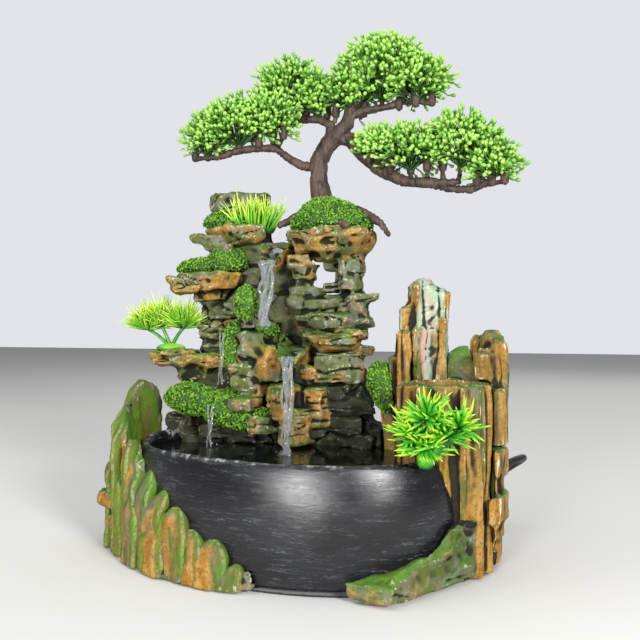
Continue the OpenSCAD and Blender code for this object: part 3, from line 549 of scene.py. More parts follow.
for node in ("upper_spout", "hanging_rocks", "centre_rock", "lower_spout", "foot_rocks"):
    rock(node, OCHRE_ROCK, "rock_ochre", 1.1, chip=(11, 11, 9), depth=1.9, layers=0.5, seed=21)


def turned(p, angle):
    """The points turned about the Z axis."""
    c, s = math.cos(angle), math.sin(angle)
    return p @ np.array([[c, s, 0], [-s, c, 0], [0, 0, 1]])


def icosphere():
    """A ball's vertices and faces."""
    bm = bmesh.new()
    bmesh.ops.create_icosphere(bm, subdivisions=4, radius=1)
    v = np.array([vert.co for vert in bm.verts])
    f = [[vert.index for vert in face.verts] for face in bm.faces]
    bm.free()
    return v, f


BALL, BALL_FACES = icosphere()
STONE_VOXEL = 1.05


def stones(name, material, slot, places, seed):
    """Flat broken stones bedded into the rockery, joined in one piece. Each place is x, y, z, three half
    sizes and a yaw in degrees."""
    rng = np.random.default_rng(seed)
    parts = []
    for x, y, z, hx, hy, hz, yaw in places:
        v = np.sign(BALL) * np.abs(BALL) ** 0.55
        v /= np.max(np.abs(v), axis=1)[:, None] ** 0.35
        side = np.arctan2(v[:, 1], v[:, 0])
        phase = rng.uniform(0, 6.28, 3)
        reach = 1 + 0.14 * np.sin(2 * side + phase[0]) + 0.13 * np.sin(3 * side + phase[1])
        reach += 0.07 * np.sin(5 * side + phase[2])
        v[:, :2] *= (reach * (1 - 0.16 * v[:, 2] * rng.uniform(-1, 1)))[:, None]
        v = turned(v * (hx, hy, hz), math.radians(yaw))
        v[:, 2] += rng.uniform(-0.12, 0.12) * v[:, 0] + rng.uniform(-0.1, 0.05) * v[:, 1]
        parts.append((v + (x, y, z), BALL_FACES))
    mesh = remeshed(parts, STONE_VOXEL, name)
    chipped(mesh, material, slot, STONE_VOXEL, seed, chip=(10, 10, 7), depth=1.7, layer_height=4.0, jag=0.8)


BOWL_HALF = (93, 61)                  # half the bowl's oval, at the foot of its wall
BOWL_AT = np.array([-11.0, -3.0, 0.0])
BOWL_YAW = math.radians(-10)
SURROUND_HALF = (99.5, 65.5)          # half the oval that the tongues of rock stand on
TONGUE_THICK = 9.6
TONGUE_RINGS = 40
TONGUE_SIDES = 36


def on_bowl(p):
    """Points given round the bowl's own middle, put where the bowl stands."""
    return turned(p, BOWL_YAW) + BOWL_AT


def tongue(angle, off, width, height, lean, seed):
    """One upright tongue of rock: its vertices, its edge value, and its faces."""
    rng = np.random.default_rng(seed)
    sharp = rng.uniform(0.5, 0.95)
    skew = rng.uniform(-0.28, 0.28)
    verts, edge = [], []
    for i in range(TONGUE_RINGS):
        t = i / (TONGUE_RINGS - 1)
        z = height * (1 - (1 - t) ** 1.25)
        roll = np.clip((z - (height - width * 0.62)) / (width * 0.62), 0, 1)
        half = width * 0.53 * max(1 - roll ** (2.0 * sharp), 0.0004) ** (0.5 / sharp ** 0.5)
        deep = TONGUE_THICK * 0.5 * (1 - 0.55 * roll ** 3)
        for k in range(TONGUE_SIDES):
            a = 2 * math.pi * k / TONGUE_SIDES
            c, d = math.cos(a), math.sin(a)
            x = half * math.copysign(abs(c) ** 0.75, c) + skew * width * roll
            y = -TONGUE_THICK / 2 + deep * math.copysign(abs(d) ** 0.7, d) + lean * roll
            verts.append((x, y, z))
            edge.append(max(abs(c) ** 0.75, roll ** 2.5) if d < -0.1 else 0.8)
    verts = np.array(verts)
    verts[:, 0] += 1.3 * noise(verts * (0, 0, 1) + seed * 31, 14, seed) * (verts[:, 2] / height)
    crease = np.abs(noise(verts * (1, 0, 0.12) + seed * 13, (7, 9, 9), seed + 4))
    rib = np.clip(np.abs(verts[:, 0]) / (width * 0.5), 0, 1) ** 3
    verts[:, 1] += 1.6 * (1 - ramp(crease, 0, 0.35)) + 0.7 * fractal(verts, 6, seed + 8, 3) - 1.3 * rib
    c, d = math.cos(math.radians(angle)), math.sin(math.radians(angle))
    place = np.array([(SURROUND_HALF[0] + off) * c, (SURROUND_HALF[1] + off) * d, GROUND])
    turn = math.atan2(d * BOWL_HALF[0], c * BOWL_HALF[1]) + math.pi / 2
    faces = tube(np.arange(TONGUE_RINGS)[:, None] * np.array([[0, 0, 1.0]]), 1.0, TONGUE_SIDES)[2]
    return on_bowl(turned(verts, turn) + place), np.array(edge), faces


# angle round the bowl, how far out, width, height and outward lean
PETAL_ROW = [
    (177, 6, 30, 97, -1), (186, 5, 28, 88, -1), (195, 4, 26, 80, -1), (204, 3, 25, 74, 0),
    (198, 8, 22, 50, -1), (214, -2, 24, 66, 2), (223, -2, 22, 58, 4), (211, 2, 20, 44, 0),
    (232, -3, 22, 52, 5), (229, 1, 18, 37, 2), (241, -3, 18, 44, 5), (244, 0, 18, 28, 2),
    (252, -2, 20, 37, 2), (259, -3, 18, 27, 2), (266, -3, 20, 24, 2), (273, -4, 12, 13, 1),
]
TONGUES = rock_material("tongue_rock", ochre=0.72, green=0.42, grey=0.05, cream=0.0, tall=3.0, dark=0.5,
                        edges=True)
v, e, f = joined([tongue(*petal, 300 + i) for i, petal in enumerate(PETAL_ROW)])
v[:, 2] = np.maximum(v[:, 2], GROUND)
make("rock_tongues", v, f, TONGUES, values={"wear": e, "hollow": 0 * e, "edge": e})
stones("dark_stones.020", DARK_ROCK, "rock_dark", [
    (-14.2, 36, 153.4, 11, 9, 3.5, 10), (-6.1, 37, 145.9, 12, 9, 4, -8),
    (-19.1, 33, 146.5, 7, 7, 3, 20), (-10.3, 38, 137.2, 10, 8, 3, 0), (-42.1, 34, 148.6, 8, 8, 5, 5),
    (-48.6, 30, 120.3, 8, 8, 4, 10), (-15.4, 30, 116.4, 8, 8, 4, -10), (2.6, 34, 92, 16, 9, 5, -5),
    (16, 36, 84.9, 12, 8, 6, 8), (-4.4, 32, 82.1, 9, 8, 5, 0), (11.9, 35, 72.6, 15, 8, 6, -6),
    (-8, 31, 68.7, 9, 8, 6, 12), (18.6, 36, 63, 12, 8, 5, 0), (-83.2, 30, 82.3, 9, 8, 5, 15),
    (-94.8, 32, 72.7, 10, 8, 6, -8), (-68.2, 31, 66.2, 12, 8, 5, 6), (-49, 31, 63.2, 11, 8, 5, -10),
    (-81.5, 31, 59.2, 12, 8, 5, 4), (-55.4, 30, 98.3, 8, 8, 6, 8), (-32.6, 32, 120.4, 6, 6, 7, 0),
], 31)
stones("grey_stones.022", GREY_ROCK, "rock_grey", [
    (-76.2, 36, 188.1, 12, 9, 4, 14), (-70.1, 38, 181.7, 11, 9, 3, -6),
    (-69.2, 33, 137.3, 10, 9, 2.4, 8), (-73.4, 33, 131.5, 10, 8, 2.2, -6),
    (-75.7, 32, 125.8, 9, 8, 2.6, 12), (-69.4, 32, 120.7, 11, 8, 2.4, -4),
    (12.4, 42, 176.1, 9, 10, 4, 0), (14.6, 41, 168, 8, 10, 6, 6), (13, 40, 158.7, 8, 10, 5, -8),
    (21.5, 39, 148.8, 10, 9, 3, 4), (16.5, 39, 143.3, 9, 9, 4, -6), (19.9, 38, 134.8, 8, 9, 4, 10),
    (18.6, 38, 117.7, 9, 9, 4, -5), (-62, 42, 173.4, 9, 9, 4, 8), (-22.1, 34, 172, 6, 7, 5, 0),
    (15.1, 35, 102.6, 10, 9, 5, -6), (-3.8, 30, 104.3, 10, 9, 5, 6), (-59.5, 27, 114.1, 7, 7, 4, 0),
    (-17.5, 46, 158, 4.5, 8, 5, 0), (-16.5, 46, 168.5, 5, 8, 4, 8), (0.5, 46, 156, 4.5, 8, 4, 0),
    (1, 46, 170, 4, 8, 4, 0),
], 32)
stones("ochre_stones.012", OCHRE_ROCK, "rock_ochre", [
    (-91.5, 27, 155.2, 9, 8, 3, 18), (-97.8, 28, 161.1, 7, 7, 2.6, 10), (-95.3, 26, 115.5, 9, 8, 3, -6),
    (-104.2, 28, 109.6, 8, 7, 3, 12), (-47, 20, 101.6, 8, 7, 9, 8), (-46.6, 16, 84.8, 10, 7, 5, -6),
    (-21.6, 10, 85.6, 6, 6, 10, 4), (-33.6, 13, 72.9, 9, 7, 6, -10), (-12.3, 14, 73.6, 8, 7, 7, 6),
    (15, 14, 124.3, 9, 8, 3.4, -4), (-63.8, 38, 196.9, 9, 8, 2.6, 6), (19.3, 20, 128.9, 9, 8, 3, 0),
], 33)

# ---- Bowl ----

def bowl_material():
    """Black resin, brushed along with pale grey, and worn pale with a painted highlight at the rim."""
    s = Shader("bowl_black")
    streak = s.noise(75, 8, 0.75, s.stretched(1, 1, 9), 0.6)
    fine = s.noise(420, 5, 0.7, s.stretched(1, 1, 3))
    cloud = s.noise(22, 3, 0.5, s.stretched(1, 1, 2.5))
    base = s.mix(s.span(cloud, 0.35, 0.7), rgb(12, 12, 15), rgb(24, 25, 29))
    stroke = s.times(s.span(streak, 0.5, 0.66), s.span(fine, 0.4, 0.62))
    much = s.plus(s.span(cloud, 0.38, 0.62, 0.25, 0.85), s.value("rim"))
    stroke = s.math("MULTIPLY", stroke, much, True)
    base = s.mix(s.times(stroke, 0.6), base, rgb(118, 120, 128))
    # Worn paint and a painted highlight: a pale line along the rim.
    worn = s.times(s.value("rim"), s.span(s.noise(160, 5, 0.7), 0.5, 0.66))
    base = s.mix(s.times(worn, 0.75), base, rgb(176, 177, 180))
    rough = s.plus(s.span(cloud, 0.3, 0.7, 0.22, 0.3), s.times(stroke, 0.25))
    bump = s.plus(s.times(streak, 0.6), s.times(fine, 0.4))
    return s.finish({"Base Color": base, "Roughness": rough, "Normal": s.bump(bump, 0.3, 0.0006)})


# the wall's section as radius along the oval's long half, and height
BOWL_WALL = [(0, 1), (60, 1), (93, 1), (97.5, 9), (99, 20), (99.5, 32), (98.5, 44), (96.5, 53), (94.5, 60),
             (92.5, 64.5), (88.5, 64.5), (88, 60), (91.5, 40), (88, 22), (73, 9), (40, 9), (0, 9)]
BOWL_SIDES = 320
BOWL_BACK = 0.034    # metres: the bowl ends here, inside the rockery


def oval_rings(r, z, sides):
    """Points of ovals of the bowl's kind, one ring for each radius and height."""
    a = np.arange(sides) * 2 * math.pi / sides
    y = r * np.sin(a) * BOWL_HALF[1] / BOWL_HALF[0]
    return np.stack(np.broadcast_arrays(r * np.cos(a), y, z), 2).reshape(-1, 3)


def ring_quads(rings, sides):
    """Faces between rings of points, each as two corners of a ring and two of the next."""
    turn = [(k, (k + 1) % sides) for k in range(sides)]
    return [(i + a, i + b, i + sides + b, i + sides + a)
            for i in range(0, (rings - 1) * sides, sides) for a, b in turn]


def build_bowl():
    line = np.array(BOWL_WALL, float)
    for _ in range(3):
        near, far = line[:-1] * 0.75 + line[1:] * 0.25, line[:-1] * 0.25 + line[1:] * 0.75
        line = np.vstack([line[:1], np.stack([near, far], 1).reshape(-1, 2), line[-1:]])
    p = oval_rings(line[:, 0][:, None], line[:, 1][:, None], BOWL_SIDES)
    p[:, :2] *= (1 + 0.0035 * noise(p, 30, 5) + 0.001 * noise(p, 9, 6))[:, None]
    height = ramp(p[:, 2], 40, 64)
    p[:, 2] += height * (0.7 * noise(p * (1, 1, 0), 26, 7) + 2.6 * ramp(-p[:, 0], 70, 96))
    rim = ramp(p[:, 2], 61.5, 65.5)
    bowl = make("bowl_shell", on_bowl(p), ring_quads(len(line), BOWL_SIDES), bowl_material(),
                ["bowl"], {"rim": rim})
    bm = bmesh.new()
    bm.from_mesh(bowl.data)
    bmesh.ops.remove_doubles(bm, verts=bm.verts, dist=1e-6)
    everything = bm.verts[:] + bm.edges[:] + bm.faces[:]
    cut = bmesh.ops.bisect_plane(bm, geom=everything, plane_co=(0, BOWL_BACK, 0), plane_no=(0, 1, 0),
                                 clear_outer=True)
    edges = [e for e in cut["geom_cut"] if isinstance(e, bmesh.types.BMEdge)]
    bmesh.ops.triangle_fill(bm, edges=edges, use_beauty=True)
    bmesh.ops.recalc_face_normals(bm, faces=bm.faces)
    bm.to_mesh(bowl.data)
    bm.free()


build_bowl()


# ---- Moss ----

MOSS_DARK = rgb(34, 62, 12)
MOSS_MID = rgb(74, 124, 22)
MOSS_LIGHT = rgb(124, 168, 36)
MOSS_SPACING = 1.45


def moss_material():
    """Foam moss, with painted shade dark between its curls and under them, and pale on their tips."""
    s = Shader("moss")
    fine = s.noise(900, 4, 0.6)
    tip = s.swayed(s.value("tip"), s.noise(75, 3, 0.5), 0.9)
    tip = s.swayed(tip, s.value("tint"), 0.5)
    # Painted shade: dark towards the mound and on the curls' undersides, pale on their outward tips.
    base = s.mix(s.span(tip, 0.05, 0.6), MOSS_DARK, MOSS_MID)
    base = s.mix(s.span(tip, 0.6, 1.15), base, MOSS_LIGHT)
    base = s.mix(s.span(fine, 0.5, 0.75, 0, 0.5), base, MOSS_MID)
    return s.finish({"Base Color": base, "Roughness": 0.75, "Normal": s.bump(fine, 0.5, 0.0005)})


MOSS = moss_material()


def crumb_shapes(rng, count):
    """Small curls and crumbs of moss, about 1 mm in radius."""
    shapes = []
    for _ in range(count):
        sweep = rng.uniform(2.2, 4.4)
        a = np.linspace(0, sweep, 6)
        path = np.stack([np.cos(a), np.sin(a), rng.uniform(-0.5, 0.5) * a / 2], 1) * rng.uniform(0.75, 1.1)
        path += rng.normal(scale=0.12, size=path.shape)
        v, _, f = tube(path, np.array([0.3, 0.5, 0.58, 0.55, 0.46, 0.22]) * rng.uniform(0.85, 1.2), 6)
        v -= v.mean(0)
        v = v @ aimed(rng.normal(size=(1, 3)), rng)[0].T
        shapes.append((v, np.clip(v[:, 2] * 0.45 + 0.5, 0, 1), f))
    return shapes


def moss(node, seed):
    """A cushion of moss: a soft mound with curls all over it."""
    rng = np.random.default_rng(seed)
    mesh = remeshed([cad(node)], 1.6, node + "_base")
    p = relaxed(points(mesh), edge_pairs(mesh), 2)
    set_points(mesh, p)
    p = p + vertex_normals(mesh) * (0.8 * fractal(p, 7, seed) - 0.5)[:, None]
    set_points(mesh, p)
    at, way, tris = on_surface(mesh, MOSS_SPACING, rng)
    size = rng.uniform(0.5, 1.05, len(at))
    hill = fractal(at, 9, seed + 3, 2)
    at = at + way * (0.5 + 0.9 * hill + rng.uniform(-0.3, 0.5, len(at)))[:, None]
    way = way + rng.normal(scale=0.35, size=way.shape)
    v, tip, f, tint = copies(crumb_shapes(rng, 9), at, way, size, rng)
    # The mound under the curls gets a low tip value, so it takes the painted shade.
    v, tip, f = joined([(p, np.full(len(p), 0.3), tris), (v, 0.2 + 0.8 * tip, f)])
    v[:, 2] = np.maximum(v[:, 2], GROUND)
    make(node + "_curls", v, f, MOSS, replaces=[node],
         values={"tip": tip, "tint": np.concatenate([0.3 + 0 * p[:, 0], tint])})
    bpy.data.meshes.remove(mesh)


MOSSES = ("moss_tree_mound", "moss_grass_slab", "moss_ledge", "moss_centre", "moss_bank", "moss_bush")
for i, node in enumerate(MOSSES):
    moss(node, 40 + i)


# ---- Tree ----

def bark_material():
    s = Shader("bark")
    fine = s.noise(420, 6, 0.65, s.stretched(1, 1, 0.35))
    coarse = s.noise(110, 4, 0.6, s.stretched(1, 1, 0.4))
    base = s.mix(s.span(coarse, 0.35, 0.68), rgb(44, 31, 25), rgb(78, 60, 48))
    base = s.mix(s.span(fine, 0.5, 0.75, 0, 0.6), base, rgb(112, 94, 80))
    # Dark paint and painted shade in the bark's grooves: near-black where the surface lies below its
    # smoothed shape.
    base = s.mix(s.span(s.value("hollow"), 0.0, -0.7), base, rgb(18, 12, 10))
    base = s.mix(s.span(s.noise(60, 2, 0.5), 0.62, 0.75, 0, 0.35), base, rgb(70, 84, 34))
    return s.finish({"Base Color": base, "Roughness": 0.6, "Normal": s.bump(fine, 0.8, 0.0009)})


BARK = bark_material()


def build_trunk():
    """The trunk with its ridges of bark. Returns its points, which the twigs grow from."""
    mesh = remeshed([cad("tree_trunk")], 0.75, "tree_trunk_bark")
    pairs = edge_pairs(mesh)
    p = relaxed(points(mesh), pairs, 4)
    set_points(mesh, p)
    n = vertex_normals(mesh)
    ridges = np.abs(noise(p, (2.6, 2.6, 11), 61)) + 0.5 * np.abs(noise(p, (1.5, 1.5, 5), 62))
    p = p + n * (0.55 * fractal(p, 8, 63, 2) + 0.75 * ramp(ridges, 0, 0.6) + 0.35)[:, None]
    set_points(mesh, p)
    trunk = shown(mesh, BARK)
    write_value(trunk, "hollow", ((p - relaxed(p, pairs, 8)) * n).sum(1) / 0.35)
    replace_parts(trunk, "tree_trunk")
    return p


trunk_points = build_trunk()


def leaf_material(name, dark, mid, light):
    """Moulded soft plastic leaves, paler towards their tips."""
    s = Shader(name)
    tip = s.swayed(s.value("tip"), s.value("tint"), 0.45)
    tip = s.swayed(tip, s.noise(60, 2, 0.5), 0.5)
    base = s.mix(s.span(tip, 0.0, 0.5), dark, mid)
    base = s.mix(s.span(tip, 0.5, 1.05), base, light)
    grain = s.noise(1200, 3, 0.5)
    base = s.mix(s.span(grain, 0.55, 0.8, 0, 0.25), base, light)
    return s.finish({"Base Color": base, "Roughness": 0.38, "Subsurface Weight": 0.12,
                     "Subsurface Scale": 0.002, "Normal": s.bump(grain, 0.15, 0.0003)})


PINE = leaf_material("pine_leaf", rgb(38, 74, 20), rgb(88, 144, 42), rgb(152, 200, 88))
NEEDLE = leaf_material("needle_leaf", rgb(46, 122, 34), rgb(120, 186, 44), rgb(206, 226, 84))
STAR = leaf_material("star_leaf", rgb(16, 84, 22), rgb(64, 158, 30), rgb(172, 214, 48))


SPRIG_REACH = 13.5
GOLDEN_ANGLE = 2.39996


def sprig(rng):
    """A fork of thin stems with club-shaped leaf tips, growing up from the origin."""
    parts = []
    for k in range(7):
        lean = rng.uniform(0.45, 1.05) if k else 0.12
        a = k * 2 * math.pi / 6 + rng.uniform(-0.4, 0.4)
        way = np.array([math.sin(lean) * math.cos(a), math.sin(lean) * math.sin(a), math.cos(lean)])
        end = way * SPRIG_REACH * rng.uniform(0.72, 0.95)
        path = bezier((0, 0, 0), (0, 0, 0.45 * SPRIG_REACH), end, 9)
        v, e, f = tube(path[::2], [0.55, 0.52, 0.48, 0.45, 0.42], 4)
        parts.append((v, e * 0.35, f))
        for at in ((4, 6, 8) if k % 2 else (5, 8)):
            out = way + rng.normal(scale=0.42, size=3) + (0, 0, 0.25)
            out /= np.linalg.norm(out)
            long = rng.uniform(4.2, 6.0)
            v, e, f = tube(path[at] + out * np.linspace(0, long, 6)[:, None],
                           np.array([0.36, 0.4, 0.62, 1.0, 1.18, 0.62]) * rng.uniform(0.85, 1.15), 6)
            parts.append((v, 0.35 + 0.65 * e, f))
    return joined(parts)


PAD_INSET = 3.5      # how far the leaf tips may stand out past the sprigs' own reach


def pad(node, lumps, seed):
    """A pad of foliage: sprigs over egg-shaped lumps, each given by its middle and its half sizes."""
    rng = np.random.default_rng(seed)
    shapes = [sprig(rng) for _ in range(5)]
    stems, at, ways = [], [], []
    for cx, cy, cz, hx, hy, hz in lumps:
        middle, half = np.array([cx, cy, cz]), np.array([hx, hy, hz]) - PAD_INSET
        root = middle - (0, 0, 0.85 * hz)
        count = int(0.024 * (hx * hy + hy * hz + hx * hz))
        for i in range(count):
            up = 1 - 1.5 * (i + 0.5) / count
            a = i * GOLDEN_ANGLE + rng.uniform(-0.3, 0.3)
            d = np.array([math.cos(a) * math.sqrt(1 - up * up), math.sin(a) * math.sqrt(1 - up * up), up])
            tip = middle + half * d * rng.uniform(0.9, 1.02)
            way = tip - root
            way /= np.linalg.norm(way)
            foot = tip - way * 12.5
            at.append(foot)
            ways.append(way + rng.normal(scale=0.12, size=3))
            if np.linalg.norm(foot - root) > 3:
                stem = bezier(root, (root + foot) / 2 + (0, 0, -2), foot, 4)
                v, e, f = tube(stem, [0.75, 0.62, 0.5, 0.42], 4)
                stems.append((v, e * 0.1, f))
    v, tip, f, tint = copies(shapes, np.array(at), np.array(ways), rng.uniform(0.85, 1.1, len(at)), rng)
    extra = joined(stems)
    v, tip, f = joined([(v, tip, f), extra])
    make(node + "_sprigs", v, f, PINE, replaces=[node],
         values={"tip": tip, "tint": np.concatenate([tint, 0.4 + 0 * extra[1]])})


PADS = {
    "foliage_left": [(-58, 34, 262, 30, 22, 18), (-36, 36, 266, 18, 18, 18), (-80, 33, 255, 17, 16, 16)],
    "foliage_upper_left": [(-30, 50, 286, 25, 20, 22), (-12, 52, 280, 15, 18, 16)],
    "foliage_top": [(32, 46, 292, 32, 24, 24), (54, 44, 282, 22, 20, 18), (12, 46, 280, 18, 20, 18)],
    "foliage_right": [(52, 36, 240, 24, 20, 17), (34, 34, 244, 14, 16, 12)],
    "foliage_right_tip": [(82, 36, 243, 22, 20, 20), (100, 34, 230, 17, 16, 16)],
}
for i, (node, lumps) in enumerate(PADS.items()):
    pad(node, lumps, 70 + i)


STUB = np.array([[0, 0, -7], [0, 0, -6], [0, 0, -3], [0.4, 0, 1], [0.5, 0, 4]])


def build_twigs():
    """Twigs and thick stubs that carry the pads, from the nearest bark to each pad's underside."""
    rng = np.random.default_rng(90)
    parts = []
    for lumps in PADS.values():
        for cx, cy, cz, hx, _, hz in lumps:
            for step in (-0.5, 0.0, 0.45):
                top = np.array([cx + step * hx, cy + rng.uniform(-3, 3), cz - 0.62 * hz])
                near = trunk_points[np.argmin(((trunk_points - (top - (0, 0, 8))) ** 2).sum(1))]
                if np.linalg.norm(near - top) < 3:
                    continue
                knee = (near + top) / 2 + (0, 0, -2.5)
                parts.append(tube(bezier(near, knee, top - (0, 0, 5), 6), [1.7, 1.5, 1.4, 1.3, 1.5, 2.2], 8))
                parts.append(tube(top + STUB, [0.8, 2.2, 2.6, 2.3, 0.9], 9))
    v, e, f = joined(parts)
    v = v + 0.35 * np.stack([noise(v, 2.5, s) for s in (91, 92, 93)], 1)
    make("tree_twigs", v, f, BARK, values={"hollow": 0 * e})


build_twigs()


# ---- Plug-in plants ----

NEEDLE_SHAPE = np.array([0.75, 1.0, 1.0, 0.9, 0.72, 0.45, 0.08])


def blades(name, node, starts, ways, lengths, width, droop, material, seed, body_parts=()):
    """Curved pointed needles, one from each start, joined with the plant's other parts."""
    rng = np.random.default_rng(seed)
    parts = list(body_parts)
    for start, way, long in zip(starts, ways, lengths):
        way = way / np.linalg.norm(way)
        side = rng.normal(scale=droop, size=3)
        end = start + (way + side * 0.5) * long
        path = bezier(start, start + (way - side * 0.2) * long * 0.5, end, len(NEEDLE_SHAPE))
        parts.append(tube(path, width * NEEDLE_SHAPE * rng.uniform(0.8, 1.15), 5))
    v, tip, f = joined(parts)
    tint = lattice(*(np.floor(v / 6).astype(np.int64).T), seed)
    make(name, v, f, material, replaces=[node], values={"tip": tip, "tint": tint})


def burst(rng, count, centre, spread, up):
    """Starts and ways out of a centre, over the part of a sphere above up."""
    ways = rng.normal(size=(count * 3, 3))
    ways /= np.linalg.norm(ways, axis=1)[:, None]
    ways = ways[ways[:, 2] > up][:count]
    return centre + ways * spread, ways


def build_plants():
    """The grass tuft on top, the needle plant at the left, and the star-shaped plant at the right."""
    rng = np.random.default_rng(120)
    count = 210
    starts = np.stack([rng.uniform(-9, 9, count), rng.uniform(-6, 6, count), np.zeros(count)], 1)
    ways = starts * 0.055 + (0, 0, 1) + rng.normal(scale=0.14, size=starts.shape)
    blades("grass_blades", "grass_tuft", starts + (-46, 34, 191), ways, rng.uniform(15, 23, count), 0.72,
           0.25, NEEDLE, 121)

    foot = np.array([-106, 34, 118.0])
    base = foot + np.array([[0, 0, -1.2], [0, 0, 0.3], [0, 0, 1.8], [0, 0, 2.8]])
    parts = [tube(base, [9, 9.5, 7.5, 3], 20)]
    starts, ways = [], []
    for hub, count in (((-122, 33, 130), 190), ((-113, 33, 133), 120), ((-97, 34, 131), 190)):
        hub = np.array(hub, float)
        v, e, f = tube(bezier(foot, (foot + hub) / 2 + (0, 0, 2), hub, 6), [1.5, 1.3, 1.2, 1.1, 1.1, 1.3], 8)
        parts.append((v, e * 0.25, f))
        s, w = burst(rng, count, hub, 1.2, -0.25)
        starts.append(s)
        ways.append(w * (1.1, 0.8, 1.05) + (0, 0, 0.38))
    starts = np.vstack(starts)
    blades("needle_plant_blades", "needle_plant_left", starts, np.vstack(ways),
           rng.uniform(13, 20, len(starts)), 0.66, 0.2, NEEDLE, 122, parts)

    foot = np.array([76, -42, 63.5])
    base = foot + np.array([[0, 0, -1], [0, 0, 1], [0, 0, 4], [1, 0, 8], [1, 0, 11]])
    parts = [tube(base, [3, 4.2, 4.6, 3.6, 1], 18)]
    starts, ways = [], []
    for hub, count in (((70, -44, 79), 70), ((86, -46, 79), 75), ((78, -48, 88), 80), ((76, -44, 73), 90),
                       ((93, -46, 84), 40)):
        hub = np.array(hub, float)
        s, w = burst(rng, count, hub, 1.0, -0.75)
        starts.append(s)
        ways.append(w * (1.1, 0.8, 0.95) + (0.05, -0.1, 0.3))
        v, e, f = tube(bezier(foot, (foot + hub) / 2, hub, 5), [2.4, 2.2, 2.0, 1.8, 1.4], 8)
        parts.append((v, e * 0.2, f))
    starts = np.vstack(starts)
    blades("star_plant_blades", "star_plant_right", starts, np.vstack(ways),
           rng.uniform(9.5, 15, len(starts)), 1.2, 0.3, STAR, 123, parts)


build_plants()


# ---- Water ----

def water_material(name, low, high):
    """Clear water with a faint ripple."""
    s = Shader(name)
    ripple = s.noise(160, 3, 0.5)
    return s.finish({"Base Color": s.mix(s.span(ripple, 0.3, 0.7), low, high),
                     "Roughness": 0.03, "IOR": 1.33, "Transmission Weight": 0.9,
                     "Normal": s.bump(ripple, 0.15, 0.0006)})


WATER = water_material("falling_water", rgb(226, 234, 236), rgb(250, 253, 255))
# Painted reflection: the pool's dark green-grey tint stands in for what the water reflects.
POOL = water_material("pool_water", rgb(70, 78, 66), rgb(92, 100, 86))
POOL_Z = 59.0
POOL_DEEP = 2.2
POOL_REACH = 89.3
POOL_BACK = 35.5
SPLASHES = [(-11, -6), (-59, 10), (-66, 10)]     # where the falls ring the pool


def build_pool():
    """A thin slab of water, rippled where the falls meet it."""
    rings, sides = 60, 160
    r = np.linspace(0.5, POOL_REACH, rings)[:, None]
    top = on_bowl(oval_rings(r, 0 * r, sides))
    top[:, 1] = np.minimum(top[:, 1], POOL_BACK)
    height = 0.04 * fractal(top, 14, 130, 2)
    for x, y in SPLASHES:
        away = np.hypot(top[:, 0] - x, top[:, 1] - y)
        height += 0.3 * np.cos(away * 1.1) * np.exp(-away / 8)
    bottom = top * (1, 1, 0) + (0, 0, POOL_Z - POOL_DEEP)
    top[:, 2] = POOL_Z + height
    n = len(top)
    faces = []
    for a, b, c, d in ring_quads(rings, sides):
        faces.append((a, d, c, b))
        faces.append((n + a, n + b, n + c, n + d))
    last = (rings - 1) * sides
    for k in range(sides):
        a, b = last + k, last + (k + 1) % sides
        faces.append((a, n + a, n + b, b))
    faces.append(tuple(range(sides)))
    faces.append(tuple(range(n + sides - 1, n - 1, -1)))
    make("water_pool", np.vstack([top, bottom]), faces, POOL)


DROP = np.array([[0, 0, -0.5], [0, 0, -0.3], [0, 0, 0.2], [0, 0, 0.6]])


def stream(start, end, width, strands, seed):
    """Twisting strands of falling water, with drops where they land."""
    rng = np.random.default_rng(seed)
    start, end = np.array(start, float), np.array(end, float)
    parts = []
    t = np.linspace(0, 1, 46)[:, None]
    for _ in range(strands):
        at = rng.uniform(-0.5, 0.5)
        phase, turns = rng.uniform(0, 6.3), rng.uniform(1.0, 2.5)
        path = start + (end - start) * (t ** (1, 0.55, 1))
        sway = np.hstack([np.sin(phase + turns * 6.28 * t), 0.6 * np.cos(phase + turns * 6.28 * t), 0 * t])
        path = path + sway * width * 0.16 + np.array([1.0, 0, 0]) * at * width * (1 - 0.35 * t)
        path += 0.35 * np.stack([noise(path + 50 * at, 5, seed + s) for s in (1, 2, 3)], 1)
        beads = 1 + 0.45 * noise(path * (0, 0, 1) + 90 * at, 3.2, seed + 4)
        parts.append(tube(path, width * 0.12 * beads * (1.15 - 0.4 * t[:, 0]), 8))
    for _ in range(strands * 2):
        d = end + rng.normal(scale=(2.6, 2.2, 0.4), size=3) + (0, 0, rng.uniform(0.3, 2.6))
        parts.append(tube(d + DROP, np.array([0.2, 0.5, 0.42, 0.08]) * rng.uniform(0.6, 1.2), 7))
    return joined(parts)


build_pool()
for name, start, end, width, strands in (
        ("water_upper_fall", (-28.5, 9, 171), (-28, 2.5, 132), 8.5, 8),
        ("water_lower_fall", (-11.3, -2.5, 115), (-10.5, -8, POOL_Z), 6.5, 7),
        ("water_left_fall", (-59, 13, 128), (-59, 9, 97), 3.0, 3),
        ("water_bank_fall", (-66.5, 13, 84), (-66.5, 9, POOL_Z), 3.6, 3)):
    v, e, f = stream(start, end, width, strands, len(name))
    make(name, v, f, WATER)


# ---- Cord ----

CORD_D = 4.5
GLAND_WAY = np.array([0.70, 0.66, 0.27]) / np.linalg.norm([0.70, 0.66, 0.27])
CORD_EXIT = np.array([82, 54, 38]) + GLAND_WAY * 33.5
COIL_AT = np.array([10, 119])
COIL_OUT = 31.75                       # radius of the coil's outer turn
COIL_IN = 18.25                        # and of its inner one
COIL_TURNS = 6.25
COIL_STEPS = 24                        # points in each turn
TAIL_BEND = 20                         # radius of the last bend
PLUG_AT = np.array([-47.75, 139, 7])


